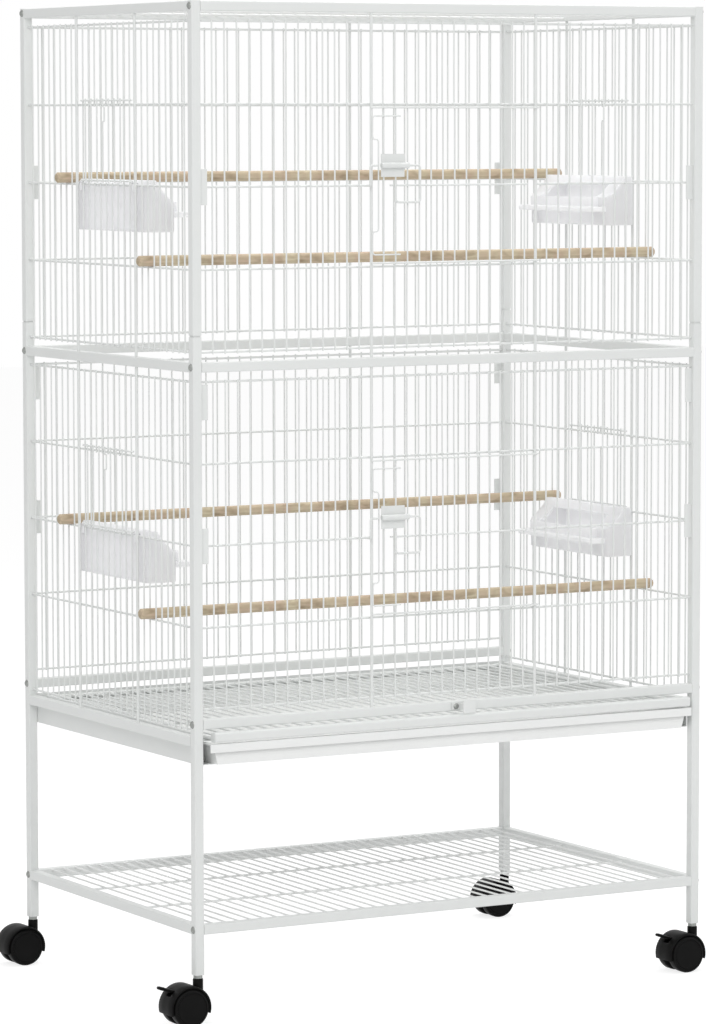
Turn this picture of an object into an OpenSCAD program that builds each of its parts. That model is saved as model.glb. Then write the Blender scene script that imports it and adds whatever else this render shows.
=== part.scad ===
// Tall wire flight cage on casters: square tube frame, wire panels, two bird doors,
// four feeder doors with hooded feeders, perches, a floor grate over a tray and a wire shelf.
// The origin is on the floor under the centre of the cage, +Z is up and the front faces -Y.

/* [Frame] */
// Width over the corner posts
cage_w = 780; // [700:1:860]
// Depth over the corner posts
cage_d = 512; // [470:1:580]
// Side of the square tube of posts and rails
tube = 13; // [12:0.5:15]
// Wall of the square tube
tube_wall = 1.2; // [1:0.1:1.5]
// Outer corner radius of the square tube
tube_r = 1.6; // [1:0.1:2.2]
// Height of the lower ends of the posts
foot_z = 65; // [62:1:80]
// Height of the centre line of the shelf rails
shelf_z = 124; // [100:1:200]
// Height of the centre line of the front and back base rails
base_z = 391.5; // [360:0.5:430]
// Height of one storey between rail centre lines
storey_h = 461; // [420:1:500]
// Drop of the side base rails below the front base rail
side_drop = 22.5; // [20:0.5:26]
// Height of the post joints above the middle rails
joint_up = 40; // [38:1:60]
// Gap between an upper and a lower post
joint_gap = 2; // [1:0.5:4]
// Length of the plug inside a post joint
joint_plug_l = 50; // [30:1:54]
// Diameter of the frame bolts
bolt_d = 5; // [4:0.5:6]
// Diameter of the bolt heads
bolt_head_d = 10; // [8:0.5:11]
// Height of the domed bolt heads
bolt_head_h = 3; // [2:0.5:4]
// Depth to which a bolt enters a rail
bolt_in = 18; // [12:1:30]
// Length of the solid threaded ends of the bolted rails
rail_end_l = 22; // [20:1:40]

/* [Wire panels] */
// Diameter of the thick upright wires
thick_d = 4; // [3.6:0.2:4.4]
// Diameter of the horizontal wires
bar_d = 3; // [2.6:0.2:3.4]
// Diameter of the thin upright wires
thin_d = 2.2; // [1.8:0.1:2.6]
// Wire gaps across the front and the back
front_gaps = 42; // [36:2:46]
// Wire gaps across a bird door
door_gaps = 14; // [12:2:16]
// Wire gaps along a side
side_gaps = 28; // [26:2:30]
// Wire gaps between the two thick wires of a side
side_mid_gaps = 10; // [10:2:12]
// Wire gaps across a feeder opening
feeder_gaps = 6; // [4:2:6]
// Distance of the outer horizontal wires from the rail centre lines
rail_to_bar = 19; // [16:0.5:24]
// Height of the lowest side wires above the side base rails
side_bar_up = 8; // [6:0.5:14]
// Overhang of the thin wires past the outer horizontal wires
thin_over = 2.5; // [2:0.1:2.8]
// Depth to which wire ends enter the tubes
plug_in = 4; // [3:0.5:6]
// Width of the hanging tabs at the panel ends
tab_w = 10.5; // [8:0.5:13]
// Height of the hanging tabs
tab_h = 46; // [36:1:52]
// Thickness of the hanging tabs
tab_t = 1.5; // [1:0.1:2]
// Height of the tongue with which a tab enters its post
tongue_h = 16; // [10:1:24]

/* [Bird doors] */
// Diameter of the cross wires of the doors
door_d = 2.5; // [2.2:0.1:2.8]
// Distance between a door's outer cross wires and the panel wires beside them
door_gap = 4.5; // [4:0.5:7]
// Diameter of the bent guard wire at the door's edge
guard_d = 2; // [1.6:0.2:2.4]
// Distance of the guard wire's legs from the door's outer cross wires
guard_leg_z = 11; // [8:1:16]
// Reach of the guard wire's legs across the door
guard_leg_l = 42; // [36:1:60]
// Half height of the guard wire's step past the latch
guard_step_z = 60; // [50:1:66]
// Sideways step of the guard wire past the latch
guard_step = 9; // [8:0.5:12]
// Width of the latch plate
latch_w = 35; // [30:1:44]
// Height of the latch plate
latch_h = 30; // [24:1:36]
// Thickness of the latch plate
latch_t = 1.2; // [1:0.1:1.6]
// Height of the latch above the door's middle wire
latch_up = 26; // [22:1:34]
// Distance of the latch plate from the middle of the keeper upright
latch_in = 13; // [12:0.5:20]
// Length of the latch barrel
barrel_l = 41; // [36:1:50]
// Diameter of the latch bolt wire
latch_d = 3; // [2.6:0.2:3.4]
// Travel of the latch bolt
latch_travel = 12; // [11:0.5:13]
// Width of the handle loop
handle_w = 37; // [30:1:42]
// Drop of the handle loop below the bolt
handle_h = 48; // [36:1:60]
// Reach of the keeper's arm towards the latch
keeper_arm = 11; // [8:0.5:12]

/* [Feeders] */
// Width of a feeder
feeder_w = 204; // [196:1:208]
// Depth of a feeder's body
feeder_depth = 47; // [45:1:52]
// Height of a feeder below the wire that carries it
feeder_h = 61; // [58:1:66]
// Wall of a feeder
feeder_wall = 2; // [1.6:0.2:2.4]
// Corner radius of a feeder seen from above
feeder_r = 9; // [6:1:12]
// Distance of the hood's ridge from the outer wall
ridge_in = 8; // [8:0.5:9]
// Width of the hood's ridge
ridge_w = 9; // [7:0.5:10]
// Rise of the hood's ridge above the wire
hood_rise = 7; // [5:0.5:7.5]
// Reach of the hood's edge over the feeder's mouth
hood_reach = 23.5; // [22:0.5:26]
// Drop of the hood's edge below the wire
hood_drop = 3.6; // [2:0.2:5]
// Depth at which the shoulder beside the mouth levels out
slope_out = 37.5; // [35:0.5:40]
// Drop of that shoulder below the wire
slope_drop = 17.5; // [15:0.5:19]
// Width of the feeder's mouth
mouth_w = 146; // [130:1:150]
// Reach of the trough in front of the body
trough_out = 13; // [10:0.5:16]
// Width of the trough
trough_w = 160; // [156:1:170]
// Drop of the trough's lip below the wire
lip_drop = 22; // [20:0.5:24]
// Height of the trough's front
trough_h = 16; // [12:0.5:18]
// Fall of the trough's bottom towards the body
trough_slant = 6; // [4:0.5:8]
// Reach of the perch ledge in front of the trough
ledge_out = 10; // [8:0.5:14]
// Width of the perch ledge
ledge_w = 198; // [180:1:204]
// Drop of the perch ledge below the wire
ledge_drop = 35; // [33:0.5:36]
// Thickness of the perch ledge
ledge_t = 7; // [5:0.5:8]
// Corner radius of the perch ledge
ledge_r = 8; // [5:1:10]
// Width of a feeder hook
hook_w = 5; // [4:0.5:6]
// Thickness of a feeder hook
hook_t = 2; // [1.6:0.2:2.4]
// Length of a feeder hook below its wire
hook_l = 8; // [5:1:12]
// Height of a feeder door between its cross wires
feeder_door_h = 106; // [100:1:110]
// Turn of the wire eyes round their uprights
eye_turn = 250; // [220:5:260]
// Sideways bow of the feeder door's finger pull
pull_out = 5; // [4:0.5:7]
// Height of the feeder door's finger pull
pull_h = 20; // [16:1:30]

/* [Perches] */
// Diameter of the perches
perch_d = 14; // [10:0.5:14.4]
// Reach of the perches outside the posts
perch_out = 8.5; // [7:0.5:20]
// Place of the perches' middle along the cage
perch_shift = -6.5; // [-6.5:0.5:6.5]
// Bevel of the perch ends
perch_bevel = 2; // [1:0.5:3]
// Wire gaps left free between the feeders and the rear perches
perch_rear_free = 0; // [0:1:2]
// Wire gaps left free between the feeders and the front perches
perch_front_free = 1; // [0:1:2]

/* [Floor and tray] */
// Reach of the grate's front bar in front of the posts
grate_out = 12; // [8:1:18]
// Gap between the grate's front bar and the posts beside it
grate_side = 11; // [8:1:16]
// Gap under the base rail above the grate's front bar
grate_gap = 3.5; // [3:0.5:6]
// Wire gaps across the grate, the shelf and the top
floor_gaps = 40; // [34:2:44]
// Diameter of the grate, shelf and top wires
floor_d = 2.5; // [2.2:0.1:3]
// Diameter of the grate's side and back rods
grate_rod_d = 5; // [4:0.5:6]
// Depth of the grate's wires below the top of its front bar
grate_wire_drop = 9; // [3.5:0.5:9.5]
// Height of the tray
tray_h = 27.5; // [24:0.5:30]
// Half width by which the tray narrows towards its bottom
tray_taper = 8; // [4:1:12]
// Width of the tray's rim
tray_rim = 5; // [4:0.5:7]
// Height of the tray's front lip
tray_lip_h = 11; // [8:0.5:14]
// Sheet thickness of the tray and its runners
sheet = 1.2; // [1:0.1:1.6]
// Gap between the tray's rim and the runners
tray_side = 5; // [3:0.5:7]
// Reach of the runner ledges under grate and tray
ledge_in = 25; // [24:1:34]
// Height of the back strip above the grate's wires
strip_rise = 5; // [3:0.5:8]
// Reach of the tray in front of the posts
tray_out = 8; // [4:1:10]
// Gap between the tray's back end and the back posts' inner faces
tray_back = 6; // [3:1:20]
// Width of the lock tab
lock_w = 17; // [14:0.5:18]
// Width of the lock tab's neck
lock_neck = 9; // [7:0.5:10]
// Length of the lock tab below its screw
lock_l = 23; // [18:1:26]
// Thickness of the lock tab
lock_t = 1.5; // [1:0.1:2]
// Diameter of the lock tab's screw
lock_screw_d = 4; // [3:0.5:5]
// Turn of the lock tab away from its hanging place
lock_turn = 90; // [85:1:95]

/* [Casters] */
// Diameter of the caster wheels
wheel_d = 50; // [44:1:54]
// Width of one wheel
wheel_w = 15; // [12:0.5:18]
// Gap between the two wheels of a caster
wheel_gap = 12; // [10:0.5:14]
// Distance of the axle behind the stem
trail = 19; // [17:0.5:22]
// Width of the hood
hood_w = 40; // [36:0.5:42]
// Thickness of the hood
hood_t = 3.4; // [2.8:0.1:4]
// Lowest point of the hood's rim below the axle
hood_low = 8; // [4:0.5:10]
// Diameter of the axles
axle_d = 6; // [5:0.5:7]
// Diameter of the caster stems
stem_d = 8; // [7:0.5:9]
// Height of the collar that shows under a post
collar_h = 4.2; // [3:0.2:6]
// Diameter of the boss round a stem
boss_d = 13.5; // [13:0.5:16]
// Length of the plug that holds a stem in its post
stem_plug_l = 25; // [15:1:35]
// Distance of the brake levers' pivots from the axle
lever_pivot_r = 19.5; // [18:0.5:20]
// Angle of the brake levers' pivots about the axle
lever_pivot_a = 110; // [105:1:115]
// Diameter of the brake levers' pivots
lever_barrel = 7; // [6:0.5:7.5]
// Length of the brake levers from their pivots
lever_l = 34; // [30:1:38]
// Width of the brake levers
lever_w = 10; // [8:0.5:14]
// Thickness of the brake levers
lever_t = 3.4; // [3:0.2:4]
// Slope of the brake levers
lever_slope = 163; // [158:1:166]
// Travel of the brake levers
lever_travel = 16; // [10:1:18]

/* [Clearances] */
// Gap at a weld between crossing wires
weld = 0.05; // [0.02:0.01:0.1]
// Gap all round a plug, bolt or tongue in its hole
slip = 0.2; // [0.1:0.05:0.3]
// Gap between pieces that slide or turn on each other
run = 0.4; // [0.3:0.05:0.5]
// Gap under a piece that rests on another
seat = 0.3; // [0.1:0.05:0.4]

/* [Hidden] */
$fn = 48;
// Small overlap that makes cuts clean
eps = 0.01;
// Overlap that joins two shapes of one piece
bite = 0.5;

SIDES = [-1, 1];
STOREYS = [0, 1];

// Frame
post_x = (cage_w - tube) / 2;
post_y = (cage_d - tube) / 2;
inner_w = cage_w - 2 * tube;
inner_d = cage_d - 2 * tube;
mid_z = base_z + storey_h;
top_z = base_z + 2 * storey_h;
cage_h = top_z + tube / 2;
side_base_z = base_z - side_drop;
joint_z = mid_z + joint_up;
bore = tube - 2 * tube_wall;
bolted_zs = [shelf_z, base_z, mid_z, top_z];
welded_zs = [shelf_z, side_base_z, mid_z, top_z];

// Depth of the wire layers below the outer faces of the posts
thick_in = tube_wall + thick_d / 2 + 2 * slip;
bar_in = thick_in + thick_d / 2 + bar_d / 2 + weld;
thin_in = bar_in - bar_d / 2 - thin_d / 2 - weld;
tab_in = bar_in - bar_d / 2 - weld;

// Heights of the horizontal wires, from the lowest up
bar_step = (storey_h - 2 * rail_to_bar) / 4;
function bar_zs(s) = [for (k = [0:4]) base_z + s * storey_h + rail_to_bar + k * bar_step];
function side_bar_zs(s) =
    s == 1 ? bar_zs(1) : concat([side_base_z + tube / 2 + side_bar_up], [for (k = [1:4]) bar_zs(0)[k]]);
front_pitch = inner_w / front_gaps;
side_pitch = inner_d / side_gaps;
door_x = front_pitch * door_gaps / 2;
side_mid = side_pitch * side_mid_gaps / 2;
// Middle heights of the hanging tabs in a storey
function tab_zs(s) = s == 1 ? [bar_zs(1)[2]] : [bar_zs(0)[2], bar_zs(0)[4] - bar_d - tab_h / 2];

// Bird doors, as distances in front of the cage's middle
hinge_y = -(cage_d / 2 - thick_in);
eye_r = thick_d / 2 + run + door_d / 2;
door_over = door_gap - thin_over - run;
door_y = hinge_y - eye_r;
door_thin_y = door_y + door_d / 2 + thin_d / 2 + weld;
guard_y = door_thin_y - thin_d / 2 - guard_d / 2 - weld;
plate_y = door_thin_y - thin_d / 2 - weld;
latch_y = door_y - door_d / 2 - run - latch_d / 2;
barrel_d = 2 * (plate_y - latch_t - latch_y + bite);
barrel_bore = latch_d + 2 * run;
keeper_y = latch_y - latch_d / 2 - run - bar_d / 2;
keeper_x = -door_x - thick_d / 2 - bar_d / 2 - 2 * run - keeper_arm / 4;
plate_x = -door_x + latch_in;
bolt_tip_x = plate_x - bar_d / 2;
bend_r = 1.5 * latch_d;
handle_out = latch_travel + bend_r + 2 * run;

// Feeders and feeder doors, in the frame of a side wall
side_reach = cage_w / 2;
hinge_bar_y = -(side_reach - bar_in);
feeder_y = hinge_bar_y + bar_d / 2 + run;
hook_x = side_pitch * (floor((feeder_w / 2 - feeder_r) / side_pitch + 0.5) - 0.5);
hook_top = bar_d / 2 + seat + hook_t;
ridge_out = ridge_in + ridge_w;
feeder_guide_x = side_pitch * (feeder_gaps / 2 + 1);
feeder_guide_y = -(side_reach - thin_in);
feeder_door_up = hook_top + seat + door_d / 2;
feeder_eye_r = thin_d / 2 + run + door_d / 2;
feeder_door_y = feeder_guide_y - feeder_eye_r;
feeder_thin_y = feeder_door_y - door_d / 2 - thin_d / 2 - weld;

// Perches, no thicker than the wire gap that holds them
perch_fit = min(perch_d, side_pitch - thin_d - 2 * run);
perch_gap = ceil((feeder_w / 2 + run + perch_fit / 2) / side_pitch - 0.5);

// Floor
rail_under = base_z - tube / 2;
grate_top = rail_under - grate_gap;
grate_half = inner_w / 2 - grate_side;
grate_z = grate_top - grate_wire_drop;
grate_rod_x = grate_half - grate_rod_d / 2;
grate_back = inner_d / 2 - tray_back;
runner_x = inner_w / 2 - sheet;
grate_ledge_z = grate_z - grate_rod_d / 2 - seat;
tray_half = runner_x - tray_side;
tray_body = tray_half - tray_rim;
tray_top = grate_top - tube - 2 * sheet;
tray_bottom = tray_top - tray_h;
tray_front = -(cage_d / 2 + tray_out);
floor_pitch = 2 * grate_rod_x / floor_gaps;
lock_y = -cage_d / 2 - seat;
lock_front = -(cage_d / 2 + grate_out) - run;

// Casters, from the floor
wheel_r = wheel_d / 2;
hood_in = wheel_r + 2 * run;
hood_out = hood_in + hood_t;
stem_foot = foot_z - collar_h - 14;
boss_top = foot_z - collar_h - run;
web_t = wheel_gap - 2 * run - 2 * slip;
lever_near = lever_pivot_r * cos(lever_slope - lever_pivot_a);
lever_exit = sqrt(pow(lever_near, 2) + pow(hood_out, 2) - pow(lever_pivot_r, 2)) - lever_near;

WALL = "#e4e7e5";
PLASTIC = "#ebebf0";
WOOD = "#be9f7b";
BLACK = "#191918";
ZINC = "#8d918d";

// Straight rods along the three axes
module rod_x(x0, x1, y, z, d) {
    translate([x0, y, z]) rotate([0, 90, 0]) cylinder(h = x1 - x0, d = d);
}
module rod_y(x, y0, y1, z, d) {
    translate([x, y0, z]) rotate([-90, 0, 0]) cylinder(h = y1 - y0, d = d);
}
module rod_z(x, y, z0, z1, d) {
    translate([x, y, z0]) cylinder(h = z1 - z0, d = d);
}

// Box between two corners
module box(a, b) {
    translate(a) cube(b - a);
}

// Square with rounded corners, centred
module round_square(w, h, r) {
    square([w - 2 * r, h], center = true);
    square([w, h - 2 * r], center = true);
    for (x = SIDES, y = SIDES) translate([x * (w / 2 - r), y * (h / 2 - r)]) circle(r = r);
}

function unit(v) = v / norm(v);
function square_to(u) = abs(u[2]) < 0.9 ? unit(cross(u, [0, 0, 1])) : unit(cross(u, [1, 0, 0]));
function turn_at(p, i) = acos(unit(p[i] - p[i - 1]) * unit(p[i + 1] - p[i]));
function trim_at(p, i, r) = i == 0 || i == len(p) - 1 ? 0 : r * tan(turn_at(p, i) / 2);

// Places children so that X, Y and Z run along the given directions
module frame_at(x, y, z, at) {
    multmatrix([
        [x[0], y[0], z[0], at[0]],
        [x[1], y[1], z[1], at[1]],
        [x[2], y[2], z[2], at[2]],
        [0, 0, 0, 1]
    ]) children();
}

// Wire of diameter d through points, in hundredths of a millimetre, with bends of radius r
module bent_wire(points, d, r) {
    p = [for (q = points) [for (c = q) round(c / eps) * eps]];
    for (i = [0 : len(p) - 2]) {
        u = unit(p[i + 1] - p[i]);
        a = p[i] + u * trim_at(p, i, r);
        b = p[i + 1] - u * trim_at(p, i + 1, r);
        s = square_to(u);
        frame_at(s, cross(u, s), u, a) cylinder(h = norm(b - a), d = d);
    }
    for (i = [1 : 1 : len(p) - 2]) {
        u = unit(p[i] - p[i - 1]);
        w = unit(p[i + 1] - p[i]);
        inward = unit(w - (u * w) * u);
        centre = p[i] - u * trim_at(p, i, r) + inward * r;
        frame_at(-inward, u, cross(-inward, u), centre)
            rotate_extrude(angle = turn_at(p, i)) translate([r, 0]) circle(d = d);
    }
}

// Domed head standing on z = 0
module dome(d, h) {
    r = (d * d / 4 + h * h) / (2 * h);
    intersection() {
        translate([0, 0, h - r]) sphere(r = r);
        cylinder(h = h, d = d);
    }
}

// Square tube standing on z = 0, open below, with its top closed where capped
module post_tube(h, capped) {
    difference() {
        linear_extrude(h) round_square(tube, tube, tube_r);
        translate([-bore / 2, -bore / 2, -eps])
            cube([bore, bore, h + (capped ? eps - tube_wall : 2 * eps)]);
    }
}

// Corner post from z0 to z1 with its bolt holes, wire holes and tab slots
module post(sx, sy, z0, z1, capped) {
    holes = [for (z = bolted_zs) if (z > z0 && z < z1) z];
    wires = [for (s = STOREYS, z = side_bar_zs(s)) if (z > z0 && z < z1) z];
    slots = [for (s = STOREYS, z = tab_zs(s)) if (z > z0 && z < z1) z];
    color(WALL) difference() {
        translate([sx * post_x, sy * post_y, z0]) post_tube(z1 - z0, capped);
        for (z = holes)
            rod_x(sx * post_x - tube, sx * post_x + tube, sy * post_y, z, bolt_d + 2 * slip);
        for (z = wires)
            translate([sx * (side_reach - bar_in), sy * post_y, z]) rotate([sy * 90, 0, 0])
                cylinder(h = tube, d = bar_d + 2 * slip);
        for (z = slots)
            translate([sx * inner_w / 2, sy * (cage_d / 2 - tab_in + tab_t / 2), z])
                cube([2 * tube_wall + 2 * eps, tab_t + 2 * slip, tongue_h + 2 * slip], center = true);
    }
}
module upper_post(sx, sy) {
    post(sx, sy, joint_z + joint_gap / 2, cage_h, true);
}
module lower_post(sx, sy) {
    post(sx, sy, foot_z, joint_z - joint_gap / 2, false);
}

// Plugs that join the upper and lower posts, drilled for the wires that end in them
module post_joint_plugs() {
    side = bore - 2 * slip;
    color(WALL) for (sx = SIDES, sy = SIDES) difference() {
        translate([sx * post_x - side / 2, sy * post_y - side / 2, joint_z - joint_plug_l / 2])
            cube([side, side, joint_plug_l]);
        for (s = STOREYS, z = side_bar_zs(s))
            translate([sx * (side_reach - bar_in), sy * inner_d / 2, z]) rotate([-sy * 90, 0, 0])
                cylinder(h = plug_in + bar_d, d = bar_d + 2 * slip);
    }
}

// Square tube along X, with solid threaded ends
module bolted_rail(y, z) {
    difference() {
        translate([-inner_w / 2, y, z]) rotate([90, 0, 90])
            linear_extrude(inner_w) round_square(tube, tube, tube_r);
        translate([0, y, z]) cube([inner_w - 2 * rail_end_l, bore, bore], center = true);
        for (sx = SIDES)
            translate([sx * inner_w / 2, y, z]) rotate([0, -sx * 90, 0])
                translate([0, 0, -eps]) cylinder(h = bolt_in + slip, d = bolt_d + 2 * slip);
    }
}

// Shelf, base, middle and top rails across the front or back, with the holes for the thick wires
module cross_rails(sy) {
    y_wire = sy * (cage_d / 2 - thick_in);
    color(WALL) for (z = bolted_zs) difference() {
        bolted_rail(sy * post_y, z);
        if (z > shelf_z)
            for (sx = SIDES)
                rod_z(sx * door_x, y_wire,
                    z == base_z ? z : z - tube, z == top_z ? z : z + tube, thick_d + 2 * slip);
        if (z == base_z && sy < 0)
            rod_y(0, -cage_d / 2 - eps, -post_y, z, lock_screw_d + 2 * slip);
    }
}

// Shelf, base, middle and top rails of one side frame
module side_rails(sx) {
    x_wire = sx * (side_reach - thick_in);
    color(WALL) for (z = welded_zs) difference() {
        translate([sx * post_x, inner_d / 2, z]) rotate([90, 0, 0]) difference() {
            linear_extrude(inner_d) round_square(tube, tube, tube_r);
            translate([0, 0, inner_d / 2]) cube([bore, bore, inner_d + 2 * eps], center = true);
        }
        if (z > shelf_z)
            for (y = SIDES)
                rod_z(x_wire, y * side_mid,
                    z == side_base_z ? z : z - tube, z == top_z ? z : z + tube, thick_d + 2 * slip);
    }
}

// Domed bolts through the posts into the ends of the front and back rails
module frame_bolts() {
    color(ZINC) for (sx = SIDES, sy = SIDES, z = bolted_zs)
        translate([sx * cage_w / 2, sy * post_y, z]) rotate([0, sx * 90, 0]) {
            dome(bolt_head_d, bolt_head_h);
            translate([0, 0, -tube - bolt_in]) cylinder(h = tube + bolt_in + eps, d = bolt_d);
        }
}

// Wire panel of a wall whose outer face lies at y = -reach, with thick wires mid gaps apart. An
// opening of so many gaps is left between the horizontal wires open[0] and open[1], and the
// horizontal wires between those are cut too.
module wire_panel(reach, span, gaps, mid, gap, zs, plugs, ends, open) {
    pitch = span / gaps;
    x_mid = pitch * mid / 2;
    y_bar = -(reach - bar_in);
    y_thin = -(reach - thin_in);
    y_thick = -(reach - thick_in);
    low = zs[0] - thin_over;
    high = zs[4] + thin_over;
    for (k = [0:4]) {
        cut = len(open) == 2 && k > open[0] && k < open[1];
        if (cut) for (s = SIDES) rod_x(s < 0 ? -ends : x_mid, s < 0 ? -x_mid : ends, y_bar, zs[k], bar_d);
        else rod_x(-ends, ends, y_bar, zs[k], bar_d);
    }
    for (k = [1 - gaps / 2 : gaps / 2 - 1]) {
        if (abs(k) < gap / 2 && len(open) == 2) {
            rod_z(k * pitch, y_thin, low, zs[open[0]] + thin_over, thin_d);
            rod_z(k * pitch, y_thin, zs[open[1]] - thin_over, high, thin_d);
        } else if (abs(k) != mid / 2) rod_z(k * pitch, y_thin, low, high, thin_d);
    }
    for (s = SIDES) rod_z(s * x_mid, y_thick, plugs[0], plugs[1], thick_d);
}

// Flat tabs at both ends of a front or back panel, with tongues that enter the posts
module hanging_tabs(s) {
    y0 = -(cage_d / 2 - tab_in) - tab_t;
    for (sx = SIDES, z = tab_zs(s)) {
        x0 = sx * (inner_w / 2 - slip);
        x1 = sx * (inner_w / 2 - tab_w);
        x2 = sx * (inner_w / 2 + tube_wall + slip);
        box([min(x0, x1), y0, z - tab_h / 2], [max(x0, x1), y0 + tab_t, z + tab_h / 2]);
        x3 = x0 - sx * bite;
        box([min(x2, x3), y0, z - tongue_h / 2], [max(x2, x3), y0 + tab_t, z + tongue_h / 2]);
    }
}

function wall_plugs(s) =
    [base_z + s * storey_h + tube / 2 - plug_in, base_z + (s + 1) * storey_h - tube / 2 + plug_in];
function side_plugs(s) =
    [(s == 0 ? side_base_z : mid_z) + tube / 2 - plug_in, base_z + (s + 1) * storey_h - tube / 2 + plug_in];

// Arm beside the door opening behind which the latch bolt slides
module keeper(s) {
    z = bar_zs(s)[2];
    y_bar = -(cage_d / 2 - bar_in);
    bent_wire([
        [keeper_x, y_bar - bar_d / 2 - weld, z],
        [keeper_x, keeper_y, z],
        [keeper_x, keeper_y, z + latch_up],
        [keeper_x + keeper_arm, keeper_y, z + latch_up]
    ], bar_d, bar_d);
}
module front_panel(s) {
    color(WALL) {
        wire_panel(cage_d / 2, inner_w, front_gaps, door_gaps, door_gaps, bar_zs(s), wall_plugs(s),
            inner_w / 2 - slip, [1, 3]);
        hanging_tabs(s);
        keeper(s);
    }
}
module back_panel(s) {
    color(WALL) rotate([0, 0, 180]) {
        wire_panel(cage_d / 2, inner_w, front_gaps, door_gaps, door_gaps, bar_zs(s), wall_plugs(s),
            inner_w / 2 - slip, []);
        hanging_tabs(s);
    }
}

// Turns a wall built at the front round to the left (sx = -1) or right (sx = 1) side
module on_side(sx) {
    rotate([0, 0, sx * 90]) children();
}
module side_panel(sx, s) {
    color(WALL) on_side(sx)
        wire_panel(side_reach, inner_d, side_gaps, side_mid_gaps, feeder_gaps, side_bar_zs(s),
            side_plugs(s), inner_d / 2 + plug_in, [2, 3]);
}

// Grille of wires along Y between the front and back rails at height z, over two wires along X
module flat_grille(z) {
    pitch = inner_w / floor_gaps;
    half = inner_d / 2 - slip;
    for (k = [1 - floor_gaps / 2 : floor_gaps / 2 - 1]) rod_y(k * pitch, -half, half, z, floor_d);
    for (s = SIDES) rod_x(slip - inner_w / 2, inner_w / 2 - slip, s * inner_d / 6,
        z - (floor_d + bar_d) / 2 - weld, bar_d);
}
module top_grille() {
    color(WALL) flat_grille(top_z);
}
module shelf_grille() {
    color(WALL) flat_grille(shelf_z + tube / 2 - floor_d / 2);
}

// Rod of length l towards -X in front of an upright at the origin, with an eye of radius r round it
module eyed_rod(r, l) {
    rotate([0, 0, -90]) rotate_extrude(angle = eye_turn) translate([r, 0]) circle(d = door_d);
    translate([0, -r, 0]) rotate([0, -90, 0]) cylinder(h = l, d = door_d);
}

// Bird door of storey s, hung on the thick wire at its right
module door(s) {
    zs = bar_zs(s);
    z_low = zs[1] + door_gap;
    z_high = zs[3] - door_gap;
    z_mid = zs[2];
    x_last = door_x - front_pitch;
    x_guard = -door_x;
    x_step = x_guard + guard_step;
    color(WALL) {
        for (z = [z_low, z_high])
            translate([door_x, hinge_y, z]) eyed_rod(eye_r, 2 * door_x + thick_d / 2);
        rod_x(plate_x + latch_in, x_last + thin_d, door_y, z_mid, door_d);
        for (k = [1 : door_gaps - 1])
            rod_z(-door_x + k * front_pitch, door_thin_y, z_low - door_over, z_high + door_over, thin_d);
        bent_wire([
            [x_guard + guard_leg_l, guard_y, z_high - guard_leg_z],
            [x_guard, guard_y, z_high - guard_leg_z],
            [x_guard, guard_y, z_mid + guard_step_z],
            [x_step, guard_y, z_mid + guard_step_z],
            [x_step, guard_y, z_mid - guard_step_z],
            [x_guard, guard_y, z_mid - guard_step_z],
            [x_guard, guard_y, z_low + guard_leg_z],
            [x_guard + guard_leg_l, guard_y, z_low + guard_leg_z]
        ], guard_d, 2 * guard_d);
    }
}
// Plate on the door with the rolled barrel for the latch bolt
module latch_plate(s) {
    z = bar_zs(s)[2] + latch_up;
    color(WALL) difference() {
        union() {
            box([plate_x, plate_y - latch_t, z - latch_h / 2], [plate_x + latch_w, plate_y, z + latch_h / 2]);
            rod_x(plate_x - bar_d / 2, plate_x - bar_d / 2 + barrel_l, latch_y, z, barrel_d);
        }
        rod_x(plate_x - latch_w, plate_x + 2 * latch_w, latch_y, z, barrel_bore);
    }
}

// Bolt wire in the barrel, bent round to the handle loop
module latch_bolt(s) {
    z = bar_zs(s)[2] + latch_up;
    x_right = plate_x - bar_d / 2 + barrel_l + handle_out;
    color(WALL) bent_wire([
        [bolt_tip_x, latch_y, z],
        [x_right, latch_y, z],
        [x_right, latch_y, z - handle_h],
        [x_right - handle_w, latch_y, z - handle_h],
        [x_right - handle_w, latch_y, z - latch_h / 2 - bend_r]
    ], latch_d, bend_r);
}

// Wire door that slides up in front of a feeder opening, with eyes round two wires of the panel
module feeder_door(sx, s) {
    zs = side_bar_zs(s);
    z_low = zs[2] + feeder_door_up;
    z_high = z_low + feeder_door_h;
    z_pull = z_high - feeder_door_up - thin_over;
    color(WALL) on_side(sx) {
        for (z = [z_low, z_high]) {
            for (e = [0, 1]) mirror([e, 0, 0]) translate([feeder_guide_x, feeder_guide_y, z])
                eyed_rod(feeder_eye_r, feeder_guide_x + bite);
        }
        for (k = [-feeder_gaps / 2 : feeder_gaps / 2]) if (k != 0)
            rod_z(k * side_pitch, feeder_thin_y, z_low - thin_over, z_high + thin_over, thin_d);
        bent_wire([
            [0, feeder_thin_y, z_low - thin_over],
            [0, feeder_thin_y, z_pull - pull_h],
            [-sx * pull_out, feeder_thin_y, z_pull - pull_h],
            [-sx * pull_out, feeder_thin_y, z_pull],
            [0, feeder_thin_y, z_pull],
            [0, feeder_thin_y, z_high + thin_over]
        ], thin_d, thin_d);
    }
}

// Sections of a feeder's body and trough, drawn w in from their outer faces: x runs into the cage
module body_section(w) {
    polygon([
        [w, -w / 2],
        [ridge_in + w / 2, hood_rise - w],
        [ridge_out - w / 2, hood_rise - w],
        [hood_reach - w, -hood_drop - w / 2],
        [slope_out - w / 2, -slope_drop - w],
        [feeder_depth - w, -lip_drop - w],
        [feeder_depth - w, -feeder_h + w],
        [w, -feeder_h + w]
    ]);
}
module trough_section(w) {
    back = feeder_depth - 2 * feeder_wall;
    front = feeder_depth + trough_out - w;
    low = -lip_drop - trough_h;
    top = w > 0 ? eps - lip_drop : -lip_drop;
    polygon([[back, top], [front, top], [front, low + w / 2], [back, low - trough_slant + w]]);
}
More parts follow.
